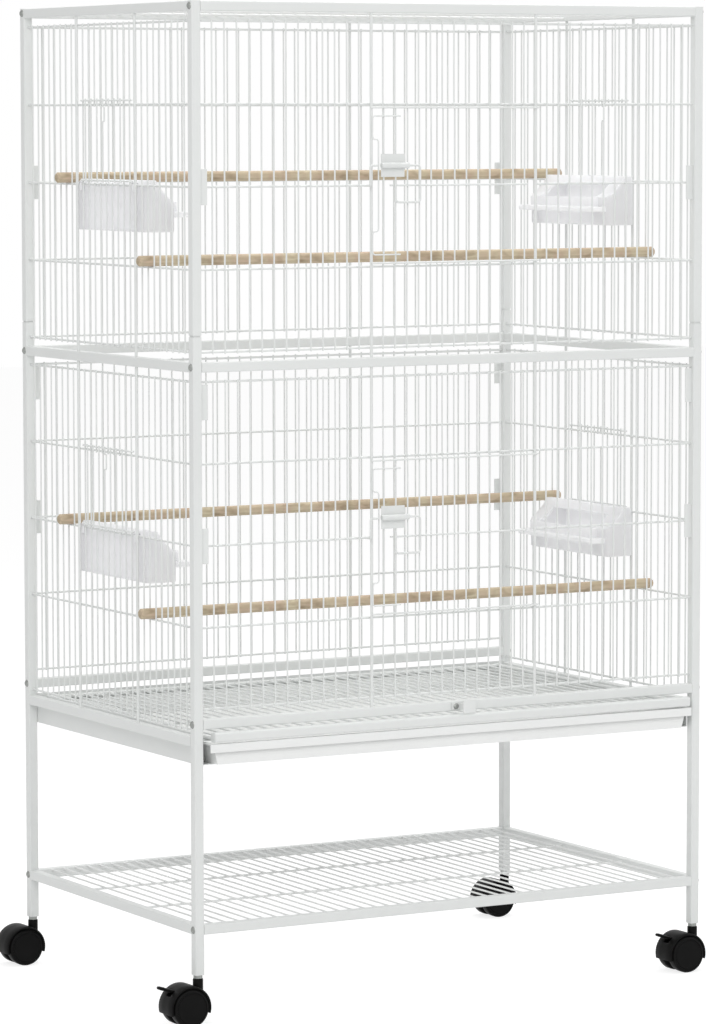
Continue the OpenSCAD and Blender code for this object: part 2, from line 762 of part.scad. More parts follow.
// Solid bodies of a feeder, w in from their outer faces
module feeder_body(w) {
    width = feeder_w - 2 * w;
    intersection() {
        translate([-width / 2, 0, 0]) rotate([90, 0, 90]) linear_extrude(width) body_section(w);
        translate([0, feeder_depth / 2, -feeder_h]) linear_extrude(feeder_h + hood_rise)
            round_square(width, feeder_depth - 2 * w, feeder_r - w);
    }
}
module feeder_trough(w) {
    width = trough_w - 2 * w;
    translate([-width / 2, 0, 0]) rotate([90, 0, 90]) linear_extrude(width) trough_section(w);
}
module perch_ledge() {
    depth = trough_out + ledge_out + feeder_r;
    translate([0, feeder_depth - feeder_r + depth / 2, -ledge_drop - ledge_t])
        linear_extrude(ledge_t) round_square(ledge_w, depth, ledge_r);
}

// Hooded feeder that hangs on a side wire by two hooks
module feeder(sx, s) {
    color(PLASTIC) on_side(sx) translate([0, feeder_y, side_bar_zs(s)[2]]) {
        difference() {
            union() {
                feeder_body(0);
                feeder_trough(0);
                perch_ledge();
            }
            feeder_body(feeder_wall);
            feeder_trough(feeder_wall);
            box([-mouth_w / 2, hood_reach, -lip_drop - 2 * feeder_wall],
                [mouth_w / 2, feeder_depth + trough_out - feeder_wall, hood_rise]);
        }
        for (e = SIDES) translate([e * hook_x - hook_w / 2, 0, 0]) feeder_hook();
    }
}
// Hook over the wire, from the feeder's outer wall
module feeder_hook() {
    y_out = -(bar_d + run + seat + hook_t);
    box([0, 0, -feeder_r], [hook_w, hook_t, hook_top]);
    box([0, y_out, hook_top - hook_t], [hook_w, hook_t, hook_top]);
    box([0, y_out, -hook_l], [hook_w, y_out + hook_t, hook_top]);
}

// Dowel along X on the side wires, with bevelled ends
module perch(s, sy) {
    gap = perch_gap + (sy > 0 ? perch_rear_free : perch_front_free);
    bar = side_bar_zs(s)[sy > 0 ? 2 : 1];
    half = cage_w / 2 + perch_out;
    r = perch_fit / 2;
    color(WOOD) translate([perch_shift, sy * (gap + 0.5) * side_pitch, bar + bar_d / 2 + weld + r])
        rotate([0, 90, 0]) rotate_extrude() polygon([
            [0, -half], [r - perch_bevel, -half], [r, -half + perch_bevel],
            [r, half - perch_bevel], [r - perch_bevel, half], [0, half]
        ]);
}

// Sheet runners on the side base rails, with a ledge for the grate and one for the tray, and a strip
// behind them that stops grate and tray
module tray_runners() {
    low = tray_bottom - seat - sheet;
    x0 = runner_x - ledge_in;
    color(WALL) for (sx = SIDES) mirror([sx < 0 ? 1 : 0, 0, 0]) {
        box([runner_x, -inner_d / 2, low], [inner_w / 2, inner_d / 2, grate_ledge_z]);
        box([x0, -inner_d / 2, grate_ledge_z - sheet], [inner_w / 2, inner_d / 2, grate_ledge_z]);
        box([x0, -inner_d / 2, low], [inner_w / 2, inner_d / 2, low + sheet]);
    }
    color(WALL) box([weld - inner_w / 2, inner_d / 2 + weld, low],
        [inner_w / 2 - weld, inner_d / 2 + weld + sheet, grate_z + strip_rise]);
}

// Floor grate: square front bar, side and back rods, wires along Y and two wires under them
module floor_grate() {
    front = -(cage_d / 2 + grate_out);
    y0 = front + tube + weld;
    cross_half = runner_x - ledge_in - bar_d;
    color(WALL) {
        translate([-grate_half, front + tube / 2, grate_top - tube / 2]) rotate([90, 0, 90])
            linear_extrude(2 * grate_half) round_square(tube, tube, 2 * tube_r);
        for (sx = SIDES) rod_y(sx * grate_rod_x, y0, grate_back, grate_z, grate_rod_d);
        rod_x(grate_rod_d / 2 + weld - grate_rod_x, grate_rod_x - grate_rod_d / 2 - weld,
            grate_back - grate_rod_d / 2, grate_z, grate_rod_d);
        for (k = [1 - floor_gaps / 2 : floor_gaps / 2 - 1])
            rod_y(k * floor_pitch, y0, grate_back - grate_rod_d - weld, grate_z, floor_d);
        for (s = SIDES)
            rod_x(-cross_half, cross_half, s * inner_d / 6, grate_z - (floor_d + bar_d) / 2 - weld, bar_d);
    }
}

// Section of the tray across its width, w in from its faces
module tray_section(w) {
    low = tray_body - tray_taper;
    polygon([
        [-tray_body + w, tray_top + (w > 0 ? eps : 0)], [tray_body - w, tray_top + (w > 0 ? eps : 0)],
        [low - w, tray_bottom + w], [-low + w, tray_bottom + w]
    ]);
}
module tray() {
    back = grate_back;
    length = back - tray_front - tray_rim;
    color(WALL) {
        difference() {
            union() {
                translate([0, back, 0]) rotate([90, 0, 0]) linear_extrude(length) tray_section(0);
                box([-tray_half, tray_front, tray_top - sheet], [tray_half, back, tray_top]);
            }
            translate([0, back - sheet, 0]) rotate([90, 0, 0])
                linear_extrude(length - 2 * sheet) tray_section(sheet);
        }
        box([-tray_half, tray_front, tray_top - tray_lip_h], [tray_half, tray_front + sheet, tray_top]);
    }
}

// Joggled tab that turns on a screw in the base rail and hangs in front of the grate
module lock_tab() {
    step = lock_neck / 2 + lock_t;
    color(WALL) translate([0, 0, base_z]) rotate([0, -lock_turn, 0]) difference() {
        union() {
            box([-lock_neck / 2, lock_y - lock_t, -step], [lock_neck / 2, lock_y, lock_neck / 2 + lock_t]);
            box([-lock_neck / 2, lock_front - lock_t, -step], [lock_neck / 2, lock_y, lock_t - step]);
            box([-lock_w / 2, lock_front - lock_t, -lock_l], [lock_w / 2, lock_front, lock_t - step]);
        }
        rod_y(0, lock_front, 0, 0, lock_screw_d + 2 * run);
    }
}
module lock_screw() {
    color(ZINC) translate([0, lock_y - lock_t - seat, base_z]) rotate([90, 0, 0]) {
        dome(2 * lock_screw_d, lock_screw_d / 2);
        translate([0, 0, -tube / 2]) cylinder(h = tube / 2 + eps, d = lock_screw_d);
    }
}

// Places a caster's own frame, with its stem on the z axis, under a corner post
module at_caster(sx, sy) {
    translate([sx * post_x, sy * post_y, 0]) children();
}
// Disc about the axle from y0 to y1
module axle_disc(r, y0, y1) {
    rod_y(-trail, y0, y1, wheel_r, 2 * r);
}
module caster_stems() {
    side = bore - 2 * slip;
    color(ZINC) for (sx = SIDES, sy = SIDES) at_caster(sx, sy) {
        rod_z(0, 0, stem_foot, foot_z - collar_h + eps, stem_d);
        rod_z(0, 0, foot_z - collar_h, foot_z, tube - tube_wall);
        translate([-side / 2, -side / 2, foot_z - eps]) cube([side, side, stem_plug_l]);
    }
}

// Moulded caster body: hood over the wheels, web between them and boss round the stem
module caster_hood(sx, sy) {
    low = wheel_r - hood_low;
    color(BLACK) at_caster(sx, sy) difference() {
        union() {
            intersection() {
                difference() {
                    axle_disc(hood_out, -hood_w / 2, hood_w / 2);
                    axle_disc(hood_in, -hood_w, hood_w);
                }
                box([-trail - wheel_d, -hood_w, low], [wheel_d, hood_w, foot_z]);
            }
            intersection() {
                axle_disc(hood_in + bite, -web_t / 2, web_t / 2);
                box([-trail - wheel_d, -hood_w, low], [wheel_d, hood_w, foot_z]);
            }
            difference() {
                rod_z(0, 0, wheel_r, boss_top, boss_d);
                axle_disc(hood_in + bite, -hood_w, hood_w);
            }
        }
        rod_z(0, 0, stem_foot - run, foot_z, stem_d + 2 * run);
        axle_disc(axle_d / 2 + run, -hood_w, hood_w);
        if (sy < 0) lever_room();
    }
}

// Places a brake lever's own frame at its pivot, with X along the lever
module at_lever() {
    translate([-trail + lever_pivot_r * cos(lever_pivot_a), 0, wheel_r + lever_pivot_r * sin(lever_pivot_a)])
        rotate([0, -lever_slope, 0]) children();
}
// Room in the hood for a lever between its two ends of travel
module lever_room() {
    wide = web_t + 2 * run;
    reach = 2 * lever_l;
    h = lever_t / 2 + run;
    c = cos(lever_travel);
    t = sin(lever_travel);
    at_lever() {
        rod_y(0, -wide / 2, wide / 2, 0, lever_barrel + 2 * run);
        translate([0, wide / 2, 0]) rotate([90, 0, 0]) linear_extrude(wide)
            polygon([[0, -h], [reach, -h], [reach * c - h * t, reach * t + h * c], [-h * t, h * c]]);
    }
}
module brake_lever(sx, sy) {
    arm = web_t - 2 * run;
    x_pad = lever_exit + 3 * run;
    color(BLACK) at_caster(sx, sy) at_lever() {
        rod_y(0, -arm / 2, arm / 2, 0, lever_barrel);
        box([0, -arm / 2, -lever_t / 2], [x_pad + bite, arm / 2, lever_t / 2]);
        box([x_pad, -lever_w / 2, -lever_t / 2], [lever_l, lever_w / 2, lever_t / 2]);
    }
}

// Pair of wheels with dished faces on their axle
module caster_wheels(sx, sy) {
    inner = wheel_gap / 2;
    outer = inner + wheel_w;
    dish = wheel_r * 0.8;
    color(BLACK) at_caster(sx, sy) {
        for (s = SIDES) translate([-trail, 0, wheel_r]) rotate([s * 90, 0, 0]) rotate_extrude() polygon([
            [axle_d / 2 + slip, inner], [wheel_r - 1, inner], [wheel_r, inner + 1],
            [wheel_r, outer - 2], [wheel_r - 2, outer], [dish, outer],
            [dish - 1, outer - 1], [axle_d / 2 + slip, outer - 1]
        ]);
        axle_disc(axle_d / 2, -outer + 1, outer - 1);
    }
}

upper_post(-1, -1);  // upper_post_front_left
upper_post(1, -1);  // upper_post_front_right
upper_post(-1, 1);  // upper_post_back_left
upper_post(1, 1);  // upper_post_back_right
lower_post(-1, -1);  // lower_post_front_left
lower_post(1, -1);  // lower_post_front_right
lower_post(-1, 1);  // lower_post_back_left
lower_post(1, 1);  // lower_post_back_right
post_joint_plugs();
cross_rails(-1);  // front_rails
cross_rails(1);  // back_rails
side_rails(-1);  // left_rails
side_rails(1);  // right_rails
frame_bolts();
front_panel(1);  // front_panel_upper
front_panel(0);  // front_panel_lower
back_panel(1);  // back_panel_upper
back_panel(0);  // back_panel_lower
side_panel(-1, 1);  // left_panel_upper
side_panel(-1, 0);  // left_panel_lower
side_panel(1, 1);  // right_panel_upper
side_panel(1, 0);  // right_panel_lower
top_grille();
door(1);  // upper_door
door(0);  // lower_door
latch_plate(1);  // upper_latch_plate
latch_plate(0);  // lower_latch_plate
latch_bolt(1);  // upper_latch_bolt
latch_bolt(0);  // lower_latch_bolt
feeder_door(-1, 1);  // feeder_door_left_upper
feeder_door(-1, 0);  // feeder_door_left_lower
feeder_door(1, 1);  // feeder_door_right_upper
feeder_door(1, 0);  // feeder_door_right_lower
feeder(-1, 1);  // feeder_left_upper
feeder(-1, 0);  // feeder_left_lower
feeder(1, 1);  // feeder_right_upper
feeder(1, 0);  // feeder_right_lower
perch(1, 1);  // perch_upper_rear
perch(1, -1);  // perch_upper_front
perch(0, 1);  // perch_lower_rear
perch(0, -1);  // perch_lower_front
tray_runners();
floor_grate();
tray();
lock_tab();
lock_screw();
shelf_grille();
caster_stems();
caster_hood(-1, -1);  // caster_hood_front_left
caster_hood(1, -1);  // caster_hood_front_right
caster_hood(-1, 1);  // caster_hood_back_left
caster_hood(1, 1);  // caster_hood_back_right
caster_wheels(-1, -1);  // caster_wheels_front_left
caster_wheels(1, -1);  // caster_wheels_front_right
caster_wheels(-1, 1);  // caster_wheels_back_left
caster_wheels(1, 1);  // caster_wheels_back_right
brake_lever(-1, -1);  // brake_lever_front_left
brake_lever(1, -1);  // brake_lever_front_right
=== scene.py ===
"""Dresses the flight cage: finishes, moulded feeders and casters, weld beads, light and camera."""

import logging
import math
from dataclasses import dataclass, replace
from enum import Enum
from typing import Any, Iterable, Sequence

import bmesh
import bpy
from mathutils import Matrix, Vector


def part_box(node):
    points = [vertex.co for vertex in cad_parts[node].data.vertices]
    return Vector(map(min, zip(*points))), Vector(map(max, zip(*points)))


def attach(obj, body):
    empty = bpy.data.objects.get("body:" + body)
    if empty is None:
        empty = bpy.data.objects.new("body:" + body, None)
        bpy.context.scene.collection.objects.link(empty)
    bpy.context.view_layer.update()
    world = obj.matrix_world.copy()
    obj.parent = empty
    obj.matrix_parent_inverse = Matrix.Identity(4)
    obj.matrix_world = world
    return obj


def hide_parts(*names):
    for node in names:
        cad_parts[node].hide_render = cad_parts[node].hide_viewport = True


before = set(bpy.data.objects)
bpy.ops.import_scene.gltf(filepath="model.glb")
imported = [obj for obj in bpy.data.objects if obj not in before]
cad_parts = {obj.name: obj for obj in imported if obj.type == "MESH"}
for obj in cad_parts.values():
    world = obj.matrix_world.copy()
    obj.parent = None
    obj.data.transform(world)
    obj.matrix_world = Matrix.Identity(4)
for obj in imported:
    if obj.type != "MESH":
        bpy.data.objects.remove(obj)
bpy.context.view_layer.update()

LOG = logging.getLogger("flight_cage")
MM = 0.001
ROOT_BODY = "cage_frame"
MERGE_DISTANCE = 1e-6
SHARP_ANGLE = math.radians(38.0)
RIM_ANGLE = math.radians(50.0)
FACING = 0.9
UP = Vector((0.0, 0.0, 1.0)).freeze()
WHITE = (1.0, 1.0, 1.0, 1.0)

BMesh = bmesh.types.BMesh
Socket = bpy.types.NodeSocket
Colour = tuple[float, float, float]
Place = tuple[float, float, float]
Profile = Sequence[tuple[float, float]]


class Storey(Enum):
    """The two storeys of the cage, with their names in the model."""

    LOWER = "lower"
    UPPER = "upper"

    @property
    def index(self) -> int:
        """Number of storeys below this one."""
        return 0 if self is Storey.LOWER else 1


class Wall(Enum):
    """The four walls, each with its turn from the front wall about the upright axis."""

    FRONT = ("front", 0.0)
    BACK = ("back", 180.0)
    LEFT = ("left", -90.0)
    RIGHT = ("right", 90.0)

    @property
    def label(self) -> str:
        """Name of the wall in the model."""
        return self.value[0]

    @property
    def turn(self) -> Matrix:
        """Matrix that turns a front wall to this one."""
        return Matrix.Rotation(math.radians(self.value[1]), 4, "Z")

    @property
    def is_side(self) -> bool:
        """True for the two narrow walls with the feeders."""
        return self in (Wall.LEFT, Wall.RIGHT)


class Slot(Enum):
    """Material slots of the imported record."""

    WHITE_STEEL = "white_steel"
    WHITE_PLASTIC = "plastic_white"
    BLACK_PLASTIC = "plastic_black"


@dataclass(frozen=True)
class CageSizes:
    """Sizes of the cage that its dressing has to meet, in metres."""

    width: float = 0.780
    depth: float = 0.512
    tube: float = 0.013
    base: float = 0.3915
    storey: float = 0.461
    side_drop: float = 0.0225
    side_bar_up: float = 0.008
    rail_to_bar: float = 0.019
    front_gaps: int = 42
    door_gaps: int = 14
    side_gaps: int = 28
    side_mid_gaps: int = 10
    feeder_gaps: int = 6
    floor_gaps: int = 40
    bar_depth: float = 0.00715
    thin_depth: float = 0.0045

    @property
    def inner_width(self) -> float:
        """Width between the posts."""
        return self.width - 2 * self.tube

    @property
    def inner_depth(self) -> float:
        """Depth between the posts."""
        return self.depth - 2 * self.tube

    @property
    def post(self) -> Vector:
        """Middle of the front right post on the floor plan, as positive distances."""
        return Vector(((self.width - self.tube) / 2, (self.depth - self.tube) / 2, 0.0))

    def bars(self, storey: Storey, side: bool) -> list[float]:
        """Heights of the horizontal wires of a storey.

        Args:
            storey: The storey.
            side: True for the left and right walls.

        Returns:
            Five heights, from the lowest up.
        """
        low = self.base + storey.index * self.storey + self.rail_to_bar
        step = (self.storey - 2 * self.rail_to_bar) / 4
        heights = [low + step * k for k in range(5)]
        if side and storey is Storey.LOWER:
            heights[0] = self.base - self.side_drop + self.tube / 2 + self.side_bar_up
        return heights


SIZES = CageSizes()


class Signal:
    """A shader socket that takes part in Python sums; each operator adds a Math node."""

    def __init__(self, graph: "Graph", socket: Socket) -> None:
        """Wraps a socket.

        Args:
            graph: The graph that holds the socket's node.
            socket: An output socket that carries a number.
        """
        self.graph = graph
        self.socket = socket

    def _math(self, operation: str, first: Any, second: Any) -> "Signal":
        """Adds one Math node.

        Args:
            operation: Name of the operation.
            first: Left value or signal.
            second: Right value or signal.

        Returns:
            The node's result.
        """
        node = self.graph.add("ShaderNodeMath", {"operation": operation}, {0: first, 1: second})
        return Signal(self.graph, node.outputs[0])

    def __add__(self, other: Any) -> "Signal":
        """Sum."""
        return self._math("ADD", self, other)

    __radd__ = __add__

    def __mul__(self, other: Any) -> "Signal":
        """Product."""
        return self._math("MULTIPLY", self, other)

    __rmul__ = __mul__

    def __sub__(self, other: Any) -> "Signal":
        """Difference."""
        return self._math("SUBTRACT", self, other)

    def __rsub__(self, other: Any) -> "Signal":
        """Reflected difference."""
        return self._math("SUBTRACT", other, self)

    def at_least(self, other: Any) -> "Signal":
        """The greater of two values.

        Args:
            other: Value, signal or socket.

        Returns:
            The greater one.
        """
        return self._math("MAXIMUM", self, other)


class Graph:
    """Node graph of one material or world."""

    def __init__(self, tree: bpy.types.NodeTree) -> None:
        """Empties a node tree and works on it.

        Args:
            tree: The tree of a material or a world.
        """
        self.tree = tree
        tree.nodes.clear()

    def add(self, kind: str, settings: dict[str, Any], inputs: dict[Any, Any]) -> bpy.types.Node:
        """Adds a node, sets it up and feeds its sockets.

        Args:
            kind: Blender's type name of the node.
            settings: Attributes of the node; "stops" is a list of position and colour for a ramp.
            inputs: Values, signals or sockets by socket name or number.

        Returns:
            The new node.
        """
        node = self.tree.nodes.new(kind)
        for key, value in settings.items():
            if key == "stops":
                self._set_stops(node.color_ramp, value)
            else:
                setattr(node, key, value)
        for key, value in inputs.items():
            source = value.socket if isinstance(value, Signal) else value
            if isinstance(source, Socket):
                self.tree.links.new(source, node.inputs[key])
            else:
                node.inputs[key].default_value = source
        return node

    @staticmethod
    def _set_stops(ramp: bpy.types.ColorRamp, stops: Sequence[tuple[float, Colour]]) -> None:
        """Sets the stops of a colour ramp.

        Args:
            ramp: The ramp.
            stops: Position and colour of each stop.
        """
        while len(ramp.elements) < len(stops):
            ramp.elements.new(1.0)
        for element, (position, colour) in zip(ramp.elements, stops):
            element.position = position
            element.color = (*colour, 1.0)

    def place(self, scale: Place = (1.0, 1.0, 1.0), move: Place = (0.0, 0.0, 0.0)) -> Socket:
        """Object coordinates, moved and then stretched.

        Args:
            scale: Stretch along the three axes.
            move: Place that comes to the origin.

        Returns:
            A vector socket.
        """
        source = self.add("ShaderNodeTexCoord", {}, {}).outputs["Object"]
        for operation, value in (("SUBTRACT", move), ("MULTIPLY", scale)):
            node = self.add("ShaderNodeVectorMath", {"operation": operation}, {0: source, 1: value})
            source = node.outputs[0]
        return source

    def noise(self, place: Socket, scale: float, detail: float = 2.0, rough: float = 0.5) -> Signal:
        """Noise from 0 to 1.

        Args:
            place: Vector socket.
            scale: Grains for each metre.
            detail: Octaves.
            rough: Weight of the finer octaves.

        Returns:
            The noise's value.
        """
        inputs = {"Vector": place, "Scale": scale, "Detail": detail, "Roughness": rough}
        return Signal(self, self.add("ShaderNodeTexNoise", {}, inputs).outputs["Fac"])

    def blend(self, factor: Any, low: Any, high: Any) -> Socket:
        """Mixes two colours.

        Args:
            factor: Share of the second colour.
            low: First colour or colour socket.
            high: Second colour or colour socket.

        Returns:
            A colour socket.
        """
        colours = [(*c, 1.0) if isinstance(c, tuple) and len(c) == 3 else c for c in (low, high)]
        inputs = {0: factor, 6: colours[0], 7: colours[1]}
        return self.add("ShaderNodeMix", {"data_type": "RGBA"}, inputs).outputs[2]

    def bump(self, height: Signal, distance: float) -> Socket:
        """Bumps a surface by a height.

        Args:
            height: Height from 0 to 1.
            distance: Real height in metres of a value of 1.

        Returns:
            A normal socket.
        """
        inputs = {"Strength": 1.0, "Distance": distance, "Height": height}
        return self.add("ShaderNodeBump", {}, inputs).outputs[0]

    def surface(self, inputs: dict[str, Any]) -> None:
        """Adds the surface shader and the output.

        Args:
            inputs: Values, signals or sockets of the surface shader.
        """
        shader = self.add("ShaderNodeBsdfPrincipled", {}, inputs)
        self.add("ShaderNodeOutputMaterial", {}, {"Surface": shader.outputs[0]})


class Finish:
    """A finish that makes its material once and hands it out again."""

    name: str

    def material(self) -> bpy.types.Material:
        """Finds or makes the finish's material.

        Returns:
            The material.
        """
        found = bpy.data.materials.get(self.name)
        if found is None:
            found = bpy.data.materials.new(self.name)
            found.use_nodes = True
            self.paint(Graph(found.node_tree))
        return found

    def paint(self, graph: Graph) -> None:
        """Draws the finish.

        Args:
            graph: Empty graph of the material.
        """
        raise NotImplementedError


@dataclass(frozen=True)
class Coat(Finish):
    """Two tones in clouds, with a fine grain and an uneven gloss that follows both.

    Cloud and grain count grains for each metre, and gloss is how far each of them sways the roughness.
    """

    name: str
    low: Colour
    high: Colour
    roughness: float
    cloud: float
    grain: float
    relief: float
    gloss: tuple[float, float]
    detail: float = 2.0
    stretch: Place = (1.0, 1.0, 1.0)
    specks: float = 0.0
    specular: float = 0.5
    metal: float = 0.0

    def paint(self, graph: Graph) -> None:
        """Draws the clouds, the specks among them and the grain.

        Args:
            graph: Empty graph of the material.
        """
        place = graph.place()
        cloud = graph.noise(place, scale=self.cloud, detail=3.0)
        grain = graph.noise(graph.place(self.stretch), scale=self.grain, detail=self.detail)
        share = cloud
        if self.specks:
            specks = graph.noise(place, scale=2400.0, detail=1.0)
            share = cloud * (1.0 - self.specks) + specks * self.specks
        broad, fine = self.gloss
        graph.surface({
            "Base Color": graph.blend(share, self.low, self.high),
            "Roughness": self.roughness + (cloud - 0.5) * broad + (grain - 0.5) * fine,
            "Normal": graph.bump(grain, self.relief),
            "Specular IOR Level": self.specular,
            "Metallic": self.metal,
        })


@dataclass(frozen=True)
class MilkyPlastic(Finish):
    """Milky moulded plastic that lets light through, with a faint painted glow from emission and faint flow
    marks.
    """

    name: str = "milky_plastic"
    pale: Colour = (0.965, 0.965, 0.968)
    cool: Colour = (0.925, 0.926, 0.936)
    roughness: float = 0.42
    glow: float = 0.50
    # Strength of the painted glow: emission in the pale tone that stands in for light passing through the
    # plastic.
    painted_glow: float = 0.06
    relief: float = 0.00008

    def paint(self, graph: Graph) -> None:
        """Draws pale plastic with flow marks along its height and a faint painted glow.

        Args:
            graph: Empty graph of the material.
        """
        flow = graph.noise(graph.place((1.0, 1.0, 0.22)), scale=38.0, detail=3.0)
        grain = graph.noise(graph.place(), scale=1500.0, detail=1.0)
        tone = graph.blend(flow, self.cool, self.pale)
        face = graph.add("ShaderNodeBsdfPrincipled", {}, {
            "Base Color": tone,
            "Roughness": self.roughness + (flow - 0.5) * 0.12 + (grain - 0.5) * 0.06,
            "Normal": graph.bump(grain * 0.4 + flow * 0.6, self.relief),
            "Specular IOR Level": 0.4,
            # Painted glow: the plastic faintly emits its own pale tone, in place of light shining through
            # it.
            "Emission Color": (*self.pale, 1.0),
            "Emission Strength": self.painted_glow,
        })
        glow = graph.add("ShaderNodeBsdfTranslucent", {}, {"Color": tone})
        both = graph.add("ShaderNodeMixShader", {}, {0: self.glow, 1: face.outputs[0], 2: glow.outputs[0]})
        graph.add("ShaderNodeOutputMaterial", {}, {"Surface": both.outputs[0]})


@dataclass(frozen=True)
class TurnedWood(Finish):
    """Plain dowel wood with long grain, rosy and dark patches and rings on the ends.

    The grain runs along X about a heart line beside the dowel's middle line.
    """

    name: str = "dowel_wood"
    middle: Place = (0.0, 0.0, 0.0)
    heart: Place = (0.0, 0.011, -0.006)
    pale: Colour = (0.750, 0.675, 0.490)
    rosy: Colour = (0.670, 0.500, 0.390)
    mid: Colour = (0.550, 0.450, 0.310)
    dark: Colour = (0.250, 0.180, 0.110)
    roughness: float = 0.62
    relief: float = 0.00012

    def paint(self, graph: Graph) -> None:
        """Draws rings round the heart line, streaks along it and patches of tint.

        Args:
            graph: Empty graph of the material.
        """
        heart = tuple(a + b for a, b in zip(self.middle, self.heart))
        along = graph.place((0.06, 1.0, 1.0), heart)
        wander = graph.noise(graph.place((0.25, 1.0, 1.0), heart), scale=30.0, detail=3.0)
        rings = graph.add(
            "ShaderNodeTexWave",
            {"wave_type": "RINGS", "rings_direction": "X", "wave_profile": "SIN"},
            {"Vector": along, "Scale": 120.0, "Distortion": 3.2, "Detail": 2.0, "Detail Scale": 1.4},
        )
        ring = Signal(graph, rings.outputs["Fac"])
        streak = graph.noise(graph.place((0.02, 1.0, 1.0), heart), scale=1400.0)
        patch = graph.noise(graph.place((1.0, 2.2, 2.2), heart), scale=30.0, rough=0.6)
        stops = [(0.52, (0.0, 0.0, 0.0)), (0.72, (1.0, 1.0, 1.0))]
        ramp = graph.add("ShaderNodeValToRGB", {"stops": stops}, {"Fac": patch})
        knot = Signal(graph, ramp.outputs["Color"])
        flush = graph.noise(graph.place((1.0, 0.4, 0.4), heart), scale=46.0, rough=0.6)
        tint = graph.blend(flush * 4.0 - 1.5, self.pale, self.rosy)
        grain = graph.blend(ring * 0.55 + wander * 0.45, tint, self.mid)
        shaded = graph.blend(streak * 0.28 + knot * 0.55, grain, self.dark)
        graph.surface({
            "Base Color": shaded,
            "Roughness": self.roughness + (streak - 0.5) * 0.2,
            "Normal": graph.bump(streak * 0.7 + ring * 0.3, self.relief),
            "Specular IOR Level": 0.3,
        })


POWDER = Coat(
    "white_powder_coat", (0.745, 0.762, 0.752), (0.815, 0.830, 0.820), roughness=0.34, cloud=9.0,
    grain=620.0, relief=0.00006, gloss=(0.14, 0.08), specks=0.2, specular=0.45,
)
# Painted light: a lighter copy of the white powder coat, so that the shelf and top grilles and the tray
# look lit from above. The real coat is the same as on the rest of the cage.
PAINTED_LIGHT_POWDER = replace(
    POWDER, name="painted_light_powder_coat", low=(0.855, 0.866, 0.858), high=(0.900, 0.910, 0.900)
)
BLACK = Coat(
    "black_plastic", (0.0028, 0.0028, 0.0030), (0.0060, 0.0059, 0.0056), roughness=0.44, cloud=45.0,
    grain=2600.0, relief=0.00004, gloss=(0.2, 0.1), specular=0.08,
)
ZINC = Coat(
    "zinc_plate", (0.170, 0.180, 0.172), (0.420, 0.430, 0.415), roughness=0.36, cloud=420.0,
    grain=2200.0, relief=0.00003, gloss=(0.22, 0.1), detail=1.0, stretch=(1.0, 0.1, 1.0), metal=1.0,
)
MILKY = MilkyPlastic()


def dress(node: str, finish: Finish) -> None:
    """Gives a solid of the frame its finish.

    Args:
        node: Name of the solid.
        finish: The finish.
    """
    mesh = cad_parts[node].data
    mesh.materials.clear()
    mesh.materials.append(finish.material())
    LOG.info("dressed %s in %s", node, finish.name)


def finish_piece(mesh: BMesh, name: str, body: str, finish: Finish) -> bpy.types.Object:
    """Makes an object of a bmesh, smooths it by angle and lets it ride on a body.

    Args:
        mesh: The bmesh, in the cage's frame and in metres. It is freed.
        name: Name of the piece.
        body: Body that the piece moves with.
        finish: The finish.

    Returns:
        The piece.
    """
    bmesh.ops.remove_doubles(mesh, verts=mesh.verts[:], dist=MERGE_DISTANCE)
    bmesh.ops.recalc_face_normals(mesh, faces=mesh.faces[:])
    for face in mesh.faces:
        face.smooth = True
    for edge in mesh.edges:
        edge.smooth = len(edge.link_faces) == 2 and edge.calc_face_angle(math.pi) < SHARP_ANGLE
    data = bpy.data.meshes.new(name)
    mesh.to_mesh(data)
    mesh.free()
    data.materials.append(finish.material())
    piece = bpy.data.objects.new(name, data)
    bpy.context.scene.collection.objects.link(piece)
    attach(piece, body)
    LOG.info("made %s: %d faces on %s", name, len(data.polygons), body)
    return piece


def add_box(mesh: BMesh, low: Place, high: Place, edge: float, turn: Matrix) -> None:
    """Adds a box with rounded edges.

    Args:
        mesh: The bmesh that takes the box.
        low: Lowest corner in metres.
        high: Highest corner in metres.
        edge: Radius of the edges.
        turn: Matrix that places the box.
    """
    made = bmesh.new()
    size = Vector(high) - Vector(low)
    middle = (Vector(high) + Vector(low)) / 2
    bmesh.ops.create_cube(made, size=1.0, matrix=Matrix.Translation(middle) @ Matrix.Diagonal((*size, 1.0)))
    round_off(made, made.edges[:], edge, 2)
    bmesh.ops.transform(made, matrix=turn, verts=made.verts[:])
    merge_in(mesh, made)


def rounded(corners: Sequence[Vector], radius: float, points: int) -> list[Vector]:
    """Rounds the corners of a closed outline.

    Args:
        corners: Corners in order.
        radius: Radius of the corners, less where the sides are short.
        points: Points on each rounded corner.

    Returns:
        The rounded outline.
    """
    outline = []
    for number, corner in enumerate(corners):
        before = corners[number - 1] - corner
        after = corners[(number + 1) % len(corners)] - corner
        turn = math.pi - before.angle(after)
        longest = 0.45 * min(before.length, after.length)
        trim = min(radius * math.tan(turn / 2), longest)
        if trim < MERGE_DISTANCE:
            outline.append(corner)
            continue
        start = corner + before.normalized() * trim
        end = corner + after.normalized() * trim
        for k in range(points):
            share = k / (points - 1)
            outline.append(start.lerp(corner, share).lerp(corner.lerp(end, share), share))
    return outline


def round_off(mesh: BMesh, edges: Sequence[bmesh.types.BMEdge], radius: float, segments: int) -> None:
    """Rounds edges.

    Args:
        mesh: The bmesh.
        edges: The edges to round.
        radius: Offset of the rounding.
        segments: Faces across the rounding.
    """
    bmesh.ops.bevel(
        mesh, geom=list(edges), offset=radius, offset_type="OFFSET", segments=segments, profile=0.5,
        affect="EDGES", clamp_overlap=True, material=-1,
    )


